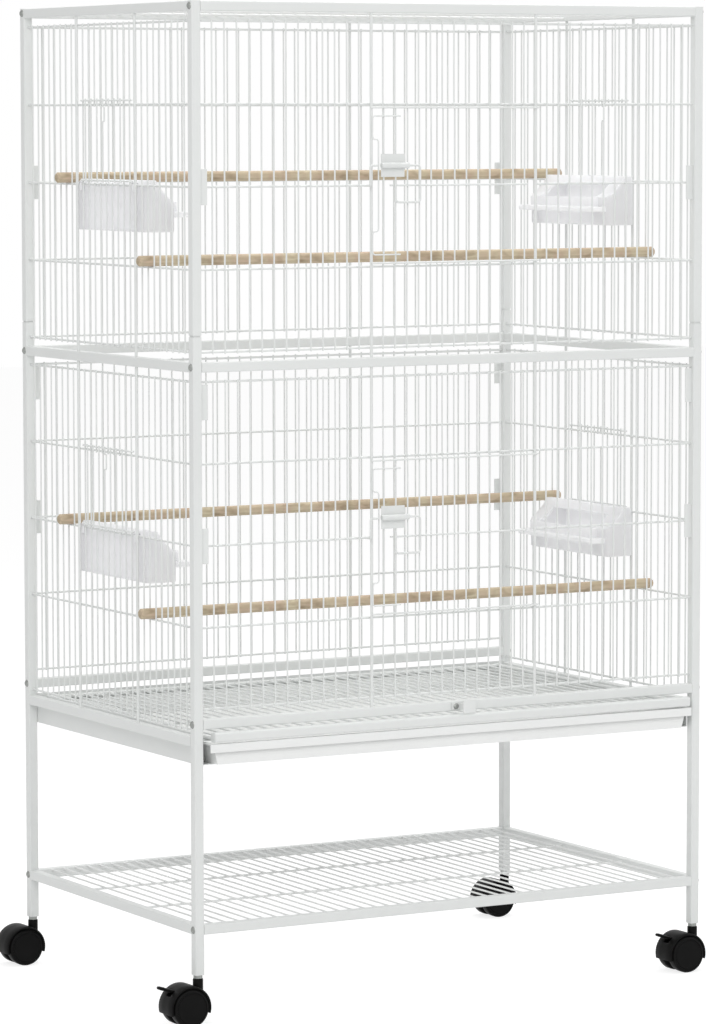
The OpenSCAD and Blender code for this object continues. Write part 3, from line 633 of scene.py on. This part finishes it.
def extruded(points: Sequence[Place], way: Place) -> BMesh:
    """Makes a flat face and extrudes it.

    Args:
        points: Corners of the face in order.
        way: Path of the extrusion.

    Returns:
        The closed shape.
    """
    mesh = bmesh.new()
    face = mesh.faces.new([mesh.verts.new(point) for point in points])
    grown = bmesh.ops.extrude_face_region(mesh, geom=[face])
    far = [g for g in grown["geom"] if isinstance(g, bmesh.types.BMVert)]
    bmesh.ops.translate(mesh, verts=far, vec=way)
    bmesh.ops.recalc_face_normals(mesh, faces=mesh.faces[:])
    return mesh


def add_pin(mesh: BMesh, centre: Vector, radius: float, length: float, sides: int) -> None:
    """Adds a pin or disc along Y.

    Args:
        mesh: The bmesh that takes the pin.
        centre: Its middle.
        radius: Its radius.
        length: Its length.
        sides: Faces round it.
    """
    turn = Matrix.Translation(centre) @ Matrix.Rotation(math.pi / 2, 4, "X")
    bmesh.ops.create_cone(
        mesh, cap_ends=True, segments=sides, radius1=radius, radius2=radius, depth=length, matrix=turn,
    )


def add_turned(mesh: BMesh, profile: Profile, place: Matrix, steps: int) -> None:
    """Spins a profile of radius and height round Z and puts it in place.

    Args:
        mesh: The bmesh that takes the shape.
        profile: Radius and height of each point.
        place: Matrix that places the turned shape.
        steps: Faces round the axis.
    """
    made = bmesh.new()
    verts = [made.verts.new((r, 0.0, h)) for r, h in profile]
    edges = [made.edges.new(pair) for pair in zip(verts, verts[1:])]
    bmesh.ops.spin(
        made, geom=verts + edges, cent=(0, 0, 0), axis=(0, 0, 1), dvec=(0, 0, 0),
        angle=2 * math.pi, steps=steps, use_merge=True, use_duplicate=False,
    )
    bmesh.ops.remove_doubles(made, verts=made.verts[:], dist=MERGE_DISTANCE)
    bmesh.ops.recalc_face_normals(made, faces=made.faces[:])
    bmesh.ops.transform(made, matrix=place, verts=made.verts[:])
    merge_in(mesh, made)


def merge_in(mesh: BMesh, part: BMesh) -> None:
    """Adds one bmesh to another and frees it.

    Args:
        mesh: The bmesh that takes the part.
        part: The bmesh that is added.
    """
    data = bpy.data.meshes.new("part")
    part.to_mesh(data)
    part.free()
    mesh.from_mesh(data)
    bpy.data.meshes.remove(data)


@dataclass
class WeldBeads:
    """Small beads of coated weld where the wires of a panel or grille cross."""

    name: str
    body: str
    radii: Place = (1.35 * MM, 0.75 * MM, 1.35 * MM)

    def build(self, points: Iterable[Vector], turn: Matrix) -> None:
        """Makes one bead at each crossing.

        Args:
            points: Crossings in the frame of the front wall.
            turn: Matrix from that frame to the wall.
        """
        mesh = bmesh.new()
        shape = Matrix.Diagonal((*self.radii, 1.0))
        for point in points:
            bmesh.ops.create_icosphere(
                mesh, subdivisions=1, radius=1.0, matrix=turn @ Matrix.Translation(point) @ shape
            )
        finish_piece(mesh, self.name, self.body, POWDER)


@dataclass
class WirePanel:
    """One wall of one storey: its wires are solids of the frame, its welds are made here."""

    wall: Wall
    storey: Storey

    @property
    def node(self) -> str:
        """Name of the panel's solid."""
        return f"{self.wall.label}_panel_{self.storey.value}"

    def crossings(self) -> list[Vector]:
        """Finds the crossings of thin and horizontal wires.

        Returns:
            The crossings in the frame of the front wall.
        """
        side = self.wall.is_side
        gaps = SIZES.side_gaps if side else SIZES.front_gaps
        middle = (SIZES.side_mid_gaps if side else SIZES.door_gaps) // 2
        pitch = (SIZES.inner_depth if side else SIZES.inner_width) / gaps
        reach = (SIZES.width if side else SIZES.depth) / 2
        y = -(reach - (SIZES.bar_depth + SIZES.thin_depth) / 2)
        open_bars = {2} if self.wall is Wall.FRONT else set()
        points = []
        for number, z in enumerate(SIZES.bars(self.storey, side)):
            for k in range(1 - gaps // 2, gaps // 2):
                if abs(k) == middle or (number in open_bars and abs(k) < middle):
                    continue
                points.append(Vector((k * pitch, y, z)))
        return points

    def build(self) -> None:
        """Dresses the wires and makes the welds."""
        dress(self.node, POWDER)
        WeldBeads(f"{self.node}_welds", ROOT_BODY).build(self.crossings(), self.wall.turn)


@dataclass
class FlatGrille:
    """Top, shelf or floor grille of wires along Y over two cross wires."""

    node: str
    body: str = ROOT_BODY
    half: float = SIZES.inner_width / 2
    drop: float = 2.55 * MM
    # By default the grilles take the lighter copy of the coat, which paints in light from above.
    finish: Finish = PAINTED_LIGHT_POWDER
    bead: Place = (1.2 * MM, 1.2 * MM, 0.7 * MM)

    def build(self) -> None:
        """Dresses the grille and makes its welds."""
        dress(self.node, self.finish)
        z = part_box(self.node)[1].z - self.drop
        pitch = 2 * self.half / SIZES.floor_gaps
        ends = SIZES.floor_gaps // 2
        points = [
            Vector((k * pitch, s * SIZES.inner_depth / 6, z))
            for k in range(1 - ends, ends) for s in (-1, 1)
        ]
        WeldBeads(f"{self.node}_welds", self.body, self.bead).build(points, Matrix.Identity(4))


@dataclass
class BirdDoor:
    """Wire door of a storey with its latch."""

    storey: Storey
    gap: float = 4.5 * MM
    rod_y: float = -256.05 * MM
    thin_y: float = -253.65 * MM

    def build(self) -> None:
        """Dresses the door and its latch and makes the welds."""
        name = self.storey.value
        for node in (f"{name}_door", f"{name}_latch_plate", f"{name}_latch_bolt"):
            dress(node, POWDER)
        bars = SIZES.bars(self.storey, False)
        pitch = SIZES.inner_width / SIZES.front_gaps
        half = SIZES.door_gaps // 2
        y = (self.rod_y + self.thin_y) / 2
        points = [
            Vector((k * pitch, y, z))
            for k in range(1 - half, half) for z in (bars[1] + self.gap, bars[3] - self.gap)
        ]
        points += [Vector((k * pitch, y, bars[2])) for k in range(2 - half, half)]
        WeldBeads(f"{name}_door_welds", f"{name}_bird_door").build(points, Matrix.Identity(4))


@dataclass
class Feeder:
    """Hooded feeder with a moulded shell, trough, perch ledge and two hooks, and its sliding wire door."""

    wall: Wall
    storey: Storey
    width: float = 204 * MM
    depth: float = 47 * MM
    height: float = 61 * MM
    shell: float = 2 * MM
    corner: float = 9 * MM
    soft: float = 2.2 * MM
    ridge_in: float = 8 * MM
    ridge_out: float = 17 * MM
    rise: float = 7 * MM
    hood_reach: float = 23.5 * MM
    hood_drop: float = 3.6 * MM
    slope_out: float = 37.5 * MM
    slope_drop: float = 17.5 * MM
    mouth: float = 146 * MM
    lip_drop: float = 22 * MM
    trough_front: float = 60 * MM
    trough_width: float = 160 * MM
    trough_low: float = 38 * MM
    trough_foot: float = 43 * MM
    trough_round: float = 3.2 * MM
    ledge_front: float = 70 * MM
    ledge_width: float = 198 * MM
    ledge_drop: float = 35 * MM
    ledge_thick: float = 7 * MM
    ledge_corner: float = 8 * MM
    ledge_round: float = 1.6 * MM
    outer_depth: float = 9.05 * MM
    hook_x: float = 78.1 * MM
    hook_half: float = 2.5 * MM
    hook_thick: float = 2 * MM
    hook_reach: float = 5.7 * MM
    hook_top: float = 3.8 * MM
    hook_root: float = 9 * MM
    hook_tip: float = 8 * MM
    hook_edge: float = 0.5 * MM
    door_rise: float = 5.35 * MM
    door_height: float = 106 * MM
    door_weld: float = 0.48 * MM

    @property
    def label(self) -> str:
        """Wall and storey as they stand in the model's names."""
        return f"{self.wall.label}_{self.storey.value}"

    @property
    def place(self) -> Matrix:
        """Matrix from the feeder's own frame, at its top outer edge, to the cage."""
        z = SIZES.bars(self.storey, True)[2]
        return self.wall.turn @ Matrix.Translation((0.0, -(SIZES.width / 2 - self.outer_depth), z))

    def ring(self, x: float) -> list[Vector]:
        """Outline of the body across its width.

        Args:
            x: Distance from the feeder's middle.

        Returns:
            The section there, drawn in where the plan is rounded.
        """
        over = max(abs(x) - (self.width / 2 - self.corner), 0.0)
        inset = self.corner - math.sqrt(self.corner ** 2 - over ** 2)
        front = self.depth - inset
        share = (front - self.slope_out) / (self.depth - self.slope_out)
        shoulder = -self.slope_drop - share * (self.lip_drop - self.slope_drop)
        section = [
            (inset, inset * self.rise / self.ridge_in), (self.ridge_in, self.rise),
            (self.ridge_out, self.rise), (self.hood_reach, -self.hood_drop),
            (self.slope_out, -self.slope_drop), (front, shoulder), (front, -self.trough_foot),
            (front, -self.height), (inset, -self.height),
        ]
        return rounded([Vector((x, y, z)) for y, z in section], self.soft, 4)

    def stations(self) -> list[float]:
        """Picks where across its width the body's outline is drawn.

        Returns:
            Distances from the middle, from left to right.
        """
        straight = self.width / 2 - self.corner
        right = [straight + self.corner * math.sin(math.radians(a)) for a in (0, 20, 40, 60, 80)]
        right.insert(0, self.mouth / 2)
        return [-x for x in reversed(right)] + right

    def make_body(self) -> BMesh:
        """Extrudes the body along its width, opens the mouth and gives the wall its thickness.

        Returns:
            The body in the feeder's own frame.
        """
        mesh = bmesh.new()
        stations = self.stations()
        face = mesh.faces.new([mesh.verts.new(point) for point in self.ring(stations[0])])
        for x in stations[1:]:
            grown = bmesh.ops.extrude_face_region(mesh, geom=[face])
            face = next(g for g in grown["geom"] if isinstance(g, bmesh.types.BMFace))
            for vert, point in zip(face.verts, self.ring(x)):
                vert.co = point
        bmesh.ops.recalc_face_normals(mesh, faces=mesh.faces[:])
        mouth = [f for f in mesh.faces if self.in_mouth(f.calc_center_median())]
        bmesh.ops.delete(mesh, geom=mouth, context="FACES")
        bmesh.ops.solidify(mesh, geom=mesh.faces[:], thickness=self.shell)
        return mesh

    def in_mouth(self, centre: Vector) -> bool:
        """True where a face of the body closes the mouth or the way to the trough.

        Args:
            centre: Middle of the face.

        Returns:
            True for the faces between the hood's edge and the trough's bottom.
        """
        inside = abs(centre.x) < self.mouth / 4 and centre.y > self.hood_reach + 0.5 * MM
        return inside and centre.z > -self.trough_foot

    def make_trough(self) -> BMesh:
        """Extrudes the trough, rounds it, opens its top and back and gives the wall its thickness.

        Returns:
            The trough in the feeder's own frame.
        """
        back = self.depth - self.shell / 2
        section = [
            (back, -self.lip_drop), (back, -self.trough_foot),
            (self.trough_front, -self.trough_low), (self.trough_front, -self.lip_drop),
        ]
        end = [(-self.trough_width / 2, y, z) for y, z in section]
        mesh = extruded(end, (self.trough_width, 0.0, 0.0))
        open_faces = [f for f in mesh.faces if f.normal.z > FACING or f.normal.y < -FACING]
        bmesh.ops.delete(mesh, geom=open_faces, context="FACES")
        round_off(mesh, [e for e in mesh.edges if e.is_manifold], self.trough_round, 4)
        bmesh.ops.solidify(mesh, geom=mesh.faces[:], thickness=self.shell)
        return mesh

    def make_ledge(self) -> BMesh:
        """Extrudes the perch ledge round the trough and rounds it.

        Returns:
            The ledge in the feeder's own frame.
        """
        half = self.ledge_width / 2
        slot = self.trough_width / 2 - self.shell / 2
        back = self.depth - self.shell / 2
        front = self.trough_front - self.shell / 2
        plan = [
            (-half, back), (-slot, back), (-slot, front), (slot, front), (slot, back), (half, back),
            (half, self.ledge_front), (-half, self.ledge_front),
        ]
        under = [(x, y, -self.ledge_drop - self.ledge_thick) for x, y in plan]
        mesh = extruded(under, (0.0, 0.0, self.ledge_thick))
        ends = [e for e in mesh.edges if all(v.co.y > self.trough_front for v in e.verts)]
        upright = [e for e in ends if abs(e.verts[0].co.z - e.verts[1].co.z) > MM]
        round_off(mesh, upright, self.ledge_corner, 6)
        rims = [e for e in mesh.edges if all(v.co.y > self.trough_front for v in e.verts)]
        flat = [e for e in rims if abs(e.verts[0].co.z - e.verts[1].co.z) < MM]
        round_off(mesh, flat, self.ledge_round, 3)
        return mesh

    def add_hooks(self, mesh: BMesh) -> None:
        """Adds the two hooks.

        Args:
            mesh: The feeder, in its own frame.
        """
        half, thick, out, top = self.hook_half, self.hook_thick, -self.hook_reach, self.hook_top
        limbs = [
            (0.0, thick, -self.hook_root), (out, thick, top - thick), (out, out + thick, -self.hook_tip),
        ]
        for x in (-self.hook_x, self.hook_x):
            for near, far, low in limbs:
                corners = (x - half, near, low), (x + half, far, top)
                add_box(mesh, *corners, self.hook_edge, Matrix.Identity(4))

    def build(self) -> None:
        """Makes the feeder and dresses its door."""
        mesh = self.make_body()
        merge_in(mesh, self.make_trough())
        merge_in(mesh, self.make_ledge())
        self.add_hooks(mesh)
        bmesh.ops.transform(mesh, matrix=self.place, verts=mesh.verts[:])
        piece = finish_piece(
            mesh, f"feeder_{self.label}_shell", f"{self.label}_feeder", MILKY
        )
        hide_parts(f"feeder_{self.label}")
        self.dress_door()

    def dress_door(self) -> None:
        """Dresses the sliding wire door and makes its welds."""
        dress(f"feeder_door_{self.label}", POWDER)
        low = SIZES.bars(self.storey, True)[2] + self.door_rise
        pitch = SIZES.inner_depth / SIZES.side_gaps
        half = SIZES.feeder_gaps // 2
        y = -(SIZES.width / 2 - self.door_weld)
        points = [
            Vector((k * pitch, y, z)) for k in range(-half, half + 1) for z in (low, low + self.door_height)
        ]
        beads = WeldBeads(f"feeder_door_{self.label}_welds", f"{self.label}_feeder_door")
        beads.build(points, self.wall.turn)


@dataclass
class Perch:
    """Wooden dowel across a storey."""

    node: str

    def build(self) -> None:
        """Dresses the dowel in wood whose grain follows it."""
        low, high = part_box(self.node)
        middle = (low + high) / 2
        dress(self.node, TurnedWood(name=f"dowel_wood_{self.node}", middle=tuple(middle)))


@dataclass
class Caster:
    """Twin-wheel caster with a moulded hood, and a brake lever at the front.

    The tread and the face of a wheel are lists of depth under its rim and distance from its side.
    """

    front: bool
    left: bool
    wheel: float = 25 * MM
    wheel_width: float = 15 * MM
    wheel_gap: float = 12 * MM
    tread: Profile = ((1.4 * MM, 0.3 * MM), (0.4 * MM, 1.3 * MM), (0.0, 3 * MM))
    face: Profile = (
        (0.0, 3.4 * MM), (0.5 * MM, 1.6 * MM), (1.6 * MM, 0.5 * MM), (3 * MM, 0.0), (3.8 * MM, 0.1 * MM),
        (4.2 * MM, 0.7 * MM), (4.8 * MM, 0.7 * MM), (5.2 * MM, 0.2 * MM),
    )
    trail: float = 19 * MM
    hood_in: float = 25.8 * MM
    hood_out: float = 29.2 * MM
    hood_width: float = 40 * MM
    hood_low: float = 8 * MM
    hood_crown: float = 1.1 * MM
    hood_shoulder: float = 1.5 * MM
    hood_soft: float = 0.2 * MM
    hood_rim: float = 0.5 * MM
    web: float = 10.8 * MM
    web_lap: float = 0.4 * MM
    boss: float = 13.5 * MM
    boss_top: float = 60.4 * MM
    boss_round: float = 1.2 * MM
    boss_chamfer: float = 0.35 * MM
    boss_cut: float = 17.75 * MM
    boss_cut_normal: Place = (-14.5, 0.0, -13.5)
    axle_radius: float = 3 * MM
    slot_half: float = 5.8 * MM
    slot_from: float = 127.0
    slot_to: float = 145.0
    lever_pivot: float = 19.5 * MM
    lever_pivot_angle: float = 110.0
    lever_slope: float = 163.0
    lever_length: float = 34 * MM
    lever_width: float = 10 * MM
    lever_thickness: float = 3.4 * MM
    lever_eye: float = 3.5 * MM
    lever_floor: float = 14 * MM
    lever_room: float = 2.7 * MM
    lever_lap: float = 0.1 * MM
    pad_swell: float = 0.35 * MM
    pad_round: float = 1.8 * MM
    lever_edge: float = 0.5 * MM
    ridges: tuple[float, ...] = (8.6 * MM, 6.2 * MM, 3.8 * MM)
    ridge_width: float = 1.1 * MM
    ridge_rise: float = 0.3 * MM
    ridge_edge: float = 0.35 * MM

    @property
    def label(self) -> str:
        """Corner as it stands in the model's names."""
        return f"{'front' if self.front else 'back'}_{'left' if self.left else 'right'}"

    @property
    def stem(self) -> Vector:
        """Foot of the stem's axis on the floor."""
        post = SIZES.post
        return Vector((-post.x if self.left else post.x, -post.y if self.front else post.y, 0.0))

    @property
    def axle(self) -> Vector:
        """Middle of the axle."""
        return self.stem + Vector((-self.trail, 0.0, self.wheel))

    def make_hood(self) -> BMesh:
        """Spins the hood's strip round the axle, cuts the lever's slot and gives it its thickness.

        Returns:
            The hood in the cage's frame.
        """
        mesh = bmesh.new()
        half = self.hood_width / 2
        shoulder = half - self.hood_shoulder
        across = [-half, -shoulder, -self.slot_half, self.slot_half, shoulder, half]
        drop = [self.hood_crown, self.hood_soft, 0.0, 0.0, self.hood_soft, self.hood_crown]
        low = math.asin(self.hood_low / self.hood_out)
        start = Vector((math.cos(-low), 0.0, math.sin(-low)))
        verts = [
            mesh.verts.new(self.axle + start * (self.hood_out - d) + Vector((0.0, y, 0.0)))
            for y, d in zip(across, drop)
        ]
        edges = [mesh.edges.new(pair) for pair in zip(verts, verts[1:])]
        bmesh.ops.spin(
            mesh, geom=verts + edges, cent=self.axle, axis=(0, -1, 0), dvec=(0, 0, 0),
            angle=math.pi + 2 * low, steps=52, use_merge=False, use_duplicate=False,
        )
        if self.front:
            cut = [f for f in mesh.faces if self.in_slot(f.calc_center_median())]
            bmesh.ops.delete(mesh, geom=cut, context="FACES")
        bmesh.ops.recalc_face_normals(mesh, faces=mesh.faces[:])
        if sum(f.normal.dot(f.calc_center_median() - self.axle) for f in mesh.faces) < 0:
            bmesh.ops.reverse_faces(mesh, faces=mesh.faces[:])
        bmesh.ops.solidify(mesh, geom=mesh.faces[:], thickness=self.hood_out - self.hood_in)
        rims = [e for e in mesh.edges if e.is_manifold and e.calc_face_angle(0.0) > RIM_ANGLE]
        round_off(mesh, rims, self.hood_rim, 2)
        return mesh

    def in_slot(self, centre: Vector) -> bool:
        """True where a face of the hood lies in the lever's slot.

        Args:
            centre: Middle of the face.

        Returns:
            True for faces that are cut away.
        """
        arm = centre - self.axle
        angle = math.degrees(math.atan2(arm.z, arm.x))
        return abs(arm.y) < self.slot_half and self.slot_from < angle < self.slot_to

    def web_disc(self) -> BMesh:
        """Makes the disc that the web is cut from, down to the hood's rim.

        Returns:
            The disc in the cage's frame.
        """
        disc = bmesh.new()
        add_pin(disc, self.axle, self.hood_in + self.web_lap, self.web, 64)
        self.slice(disc, self.axle - UP * self.hood_low, -UP)
        return disc

    def add_web(self, mesh: BMesh) -> None:
        """Adds the web between the wheels, with room for the lever in the front casters.

        Args:
            mesh: The hood, in the cage's frame.
        """
        disc = self.web_disc()
        if self.front:
            above = self.web_disc()
            floor = self.axle + UP * self.lever_floor
            back = Vector((-1.0, 0.0, 0.0))
            self.slice(disc, floor, UP)
            self.slice(above, floor - UP * self.lever_lap, -UP)
            self.slice(above, self.axle + back * self.lever_room, back)
            merge_in(mesh, above)
        merge_in(mesh, disc)

    def add_boss(self, mesh: BMesh) -> None:
        """Adds the round boss about the stem, cut off inside the hood's wall.

        Args:
            mesh: The hood, in the cage's frame.
        """
        made = bmesh.new()
        r, top, turn, chamfer = self.boss / 2, self.boss_top, self.boss_round, self.boss_chamfer
        profile = [
            (0.0, self.wheel), (r, self.wheel), (r, top - turn), (r - chamfer, top - chamfer),
            (r - turn, top), (0.0, top),
        ]
        add_turned(made, profile, Matrix.Translation(self.stem), 40)
        wall = self.stem + UP * (self.wheel + self.boss_cut)
        self.slice(made, wall, Vector(self.boss_cut_normal).normalized())
        merge_in(mesh, made)

    @staticmethod
    def ray(degrees: float) -> Vector:
        """Direction across the axle.

        Args:
            degrees: Angle from +X towards +Z.

        Returns:
            A unit vector.
        """
        return Vector((math.cos(math.radians(degrees)), 0.0, math.sin(math.radians(degrees))))

    @staticmethod
    def slice(mesh: BMesh, point: Vector, outside: Vector) -> None:
        """Cuts a closed shape with a plane and closes the cut.

        Args:
            mesh: The shape.
            point: Point on the plane.
            outside: Normal of the plane, towards what goes.
        """
        geom = mesh.verts[:] + mesh.edges[:] + mesh.faces[:]
        cut = bmesh.ops.bisect_plane(mesh, geom=geom, plane_co=point, plane_no=outside, clear_outer=True)
        rim = [g for g in cut["geom_cut"] if isinstance(g, bmesh.types.BMEdge)]
        bmesh.ops.holes_fill(mesh, edges=rim)

    def make_wheels(self) -> BMesh:
        """Turns the two wheels with their caps and the axle.

        Returns:
            The wheels in the cage's frame.
        """
        mesh = bmesh.new()
        r, inner = self.wheel, self.wheel_gap / 2
        outer = inner + self.wheel_width
        profile = [(0.0, inner), (r * 0.86, inner)]
        profile += [(r - deep, inner + along) for deep, along in self.tread]
        profile += [(r - deep, outer - along) for deep, along in self.face]
        profile += [(r * 0.55, outer - 0.1 * MM), (r * 0.3, outer), (0.0, outer)]
        for s in (-1, 1):
            turn = Matrix.Rotation(s * math.pi / 2, 4, "X")
            add_turned(mesh, profile, Matrix.Translation(self.axle) @ turn, 56)
        add_pin(mesh, self.axle, self.axle_radius, 2 * inner + MM, 24)
        return mesh

    def make_lever(self) -> BMesh:
        """Shapes the brake lever with its rounded pad and grip ridges.

        Returns:
            The lever in the cage's frame.
        """
        mesh = bmesh.new()
        pivot = self.axle + self.ray(self.lever_pivot_angle) * self.lever_pivot
        turn = Matrix.Translation(pivot) @ Matrix.Rotation(math.radians(-self.lever_slope), 4, "Y")
        end, half, thick = self.lever_length, self.lever_width / 2, self.lever_thickness / 2
        add_box(mesh, (0.0, -half, -thick), (end * 0.6, half, thick), self.lever_edge, turn)
        pad = thick + self.pad_swell
        add_box(mesh, (end * 0.45, -half, -pad), (end, half, pad), self.pad_round, turn)
        flat = half - self.pad_round
        for x in (end - ridge for ridge in self.ridges):
            low = (x, -flat, -pad - self.ridge_rise)
            add_box(mesh, low, (x + self.ridge_width, flat, 0.0), self.ridge_edge, turn)
        add_pin(mesh, pivot, self.lever_eye, self.lever_width, 28)
        return mesh

    def build(self) -> None:
        """Makes the caster's moulded pieces in place of its plain solids."""
        hood = self.make_hood()
        self.add_web(hood)
        self.add_boss(hood)
        parts = [("caster_hood", "caster", hood), ("caster_wheels", "wheels", self.make_wheels())]
        if self.front:
            parts.append(("brake_lever", "brake", self.make_lever()))
        for node, body, mesh in parts:
            name = f"{node}_{self.label}"
            piece = finish_piece(
                mesh, f"{name}_moulding", f"{body}_{self.label}", BLACK
            )
            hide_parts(name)


@dataclass
class PlainSolids:
    """Solids of the frame and the floor that only take a finish."""

    corners: tuple[str, ...] = ("front_left", "front_right", "back_left", "back_right")
    walls: tuple[str, ...] = ("front", "back", "left", "right")
    coated: tuple[str, ...] = ("post_joint_plugs", "tray_runners", "lock_tab")
    plated: tuple[str, ...] = ("frame_bolts", "caster_stems", "lock_screw")

    def build(self) -> None:
        """Dresses the solids."""
        posts = [f"{part}_post_{corner}" for part in ("upper", "lower") for corner in self.corners]
        rails = [f"{wall}_rails" for wall in self.walls]
        for node in (*posts, *rails, *self.coated):
            dress(node, POWDER)
        for node in self.plated:
            dress(node, ZINC)
        # The tray takes the lighter copy of the coat, which paints in light from above.
        dress("tray", PAINTED_LIGHT_POWDER)


@dataclass
class Studio:
    """Pale floor, soft light and the camera at the photograph's place."""

    eye: Place = (-3.03846, -5.38562, 1.17059)
    yaw: float = 0.5120
    pitch: float = -0.0870
    roll: float = -0.0014
    lens: float = 158.78
    sensor: float = 36.0
    reach: float = 60.0
    sky: float = 0.51
    key: float = 71.0
    aim: Place = (0.0, 0.0, 0.7)
    floor_half: float = 14.0
    floor_tone: Colour = (0.9, 0.9, 0.9)
    floor_glow: float = 1.32
    floor_share: float = 0.6

    def build(self) -> None:
        """Makes floor, world, lamps and camera."""
        self.add_floor()
        self.light_world()
        self.add_lamp("key_lamp", (-2.6, -3.4, 3.2), 2.6, self.key)
        self.add_lamp("fill_lamp", (3.2, -2.4, 2.4), 2.4, self.key * 0.35)
        self.add_lamp("top_lamp", (0.3, 0.4, 3.6), 2.2, self.key * 0.85)
        self.add_camera()
        bpy.context.scene.view_settings.view_transform = "Standard"

    def seen(self, graph: Graph) -> Signal:
        """1 for rays from the camera, mirrors and glass, 0 for light.

        Args:
            graph: Graph that takes the nodes.

        Returns:
            The mask.
        """
        path = graph.add("ShaderNodeLightPath", {}, {})
        camera = Signal(graph, path.outputs["Is Camera Ray"])
        return camera.at_least(path.outputs["Is Glossy Ray"]).at_least(path.outputs["Is Transmission Ray"])

    def add_floor(self) -> None:
        """Makes the floor, which is white to the camera and keeps a faint shadow."""
        mesh = bmesh.new()
        bmesh.ops.create_grid(mesh, x_segments=2, y_segments=2, size=self.floor_half)
        data = bpy.data.meshes.new("floor")
        mesh.to_mesh(data)
        mesh.free()
        floor = bpy.data.objects.new("floor", data)
        bpy.context.scene.collection.objects.link(floor)
        material = bpy.data.materials.new("white_floor")
        material.use_nodes = True
        graph = Graph(material.node_tree)
        matt = graph.add("ShaderNodeBsdfDiffuse", {}, {"Color": (*self.floor_tone, 1.0)})
        glow = graph.add("ShaderNodeEmission", {}, {"Color": WHITE, "Strength": self.floor_glow})
        share = self.seen(graph) * self.floor_share
        mixed = graph.add("ShaderNodeMixShader", {}, {0: share, 1: matt.outputs[0], 2: glow.outputs[0]})
        graph.add("ShaderNodeOutputMaterial", {}, {"Surface": mixed.outputs[0]})
        data.materials.append(material)

    def light_world(self) -> None:
        """Makes a world that is white to the camera and lights softly."""
        world = bpy.data.worlds.new("studio")
        world.use_nodes = True
        graph = Graph(world.node_tree)
        strength = self.seen(graph) * (1.0 - self.sky) + self.sky
        back = graph.add("ShaderNodeBackground", {}, {"Color": WHITE, "Strength": strength})
        graph.add("ShaderNodeOutputWorld", {}, {"Surface": back.outputs[0]})
        bpy.context.scene.world = world

    def add_lamp(self, name: str, place: Place, size: float, power: float) -> None:
        """Adds a square soft lamp that faces the cage.

        Args:
            name: Name of the lamp.
            place: Its place.
            size: Its side.
            power: Its power in watts.
        """
        lamp = bpy.data.lights.new(name, "AREA")
        lamp.size = size
        lamp.energy = power
        holder = bpy.data.objects.new(name, lamp)
        holder.location = place
        beam = Vector(self.aim) - Vector(place)
        holder.rotation_euler = beam.to_track_quat("-Z", "Y").to_euler()
        bpy.context.scene.collection.objects.link(holder)

    def add_camera(self) -> None:
        """Adds the camera."""
        level = math.cos(self.pitch)
        ahead = Vector((math.sin(self.yaw) * level, math.cos(self.yaw) * level, math.sin(self.pitch)))
        right = Vector((math.cos(self.yaw), -math.sin(self.yaw), 0.0))
        up = right.cross(ahead)
        tilted = math.cos(self.roll) * right + math.sin(self.roll) * up
        upright = math.cos(self.roll) * up - math.sin(self.roll) * right
        data = bpy.data.cameras.new("camera")
        data.lens = self.lens
        data.sensor_width = self.sensor
        data.clip_end = self.reach
        camera = bpy.data.objects.new("camera", data)
        turn = Matrix((tilted, upright, -ahead)).transposed()
        camera.matrix_world = Matrix.Translation(self.eye) @ turn.to_4x4()
        bpy.context.scene.collection.objects.link(camera)
        bpy.context.scene.camera = camera


def main() -> None:
    """Builds the dressing of the cage, piece by piece, and then the studio."""
    logging.basicConfig(level=logging.INFO, format="%(name)s: %(message)s")
    PlainSolids().build()
    for storey in Storey:
        for wall in Wall:
            WirePanel(wall, storey).build()
        BirdDoor(storey).build()
        for wall in (Wall.LEFT, Wall.RIGHT):
            Feeder(wall, storey).build()
        for side in ("rear", "front"):
            Perch(f"perch_{storey.value}_{side}").build()
    FlatGrille("floor_grate", "grate", half=363.5 * MM, drop=10.3 * MM, finish=POWDER).build()
    for node in ("shelf_grille", "top_grille"):
        FlatGrille(node).build()
    for front in (True, False):
        for left in (True, False):
            Caster(front, left).build()
    Studio().build()


if __name__ == "__main__":
    main()
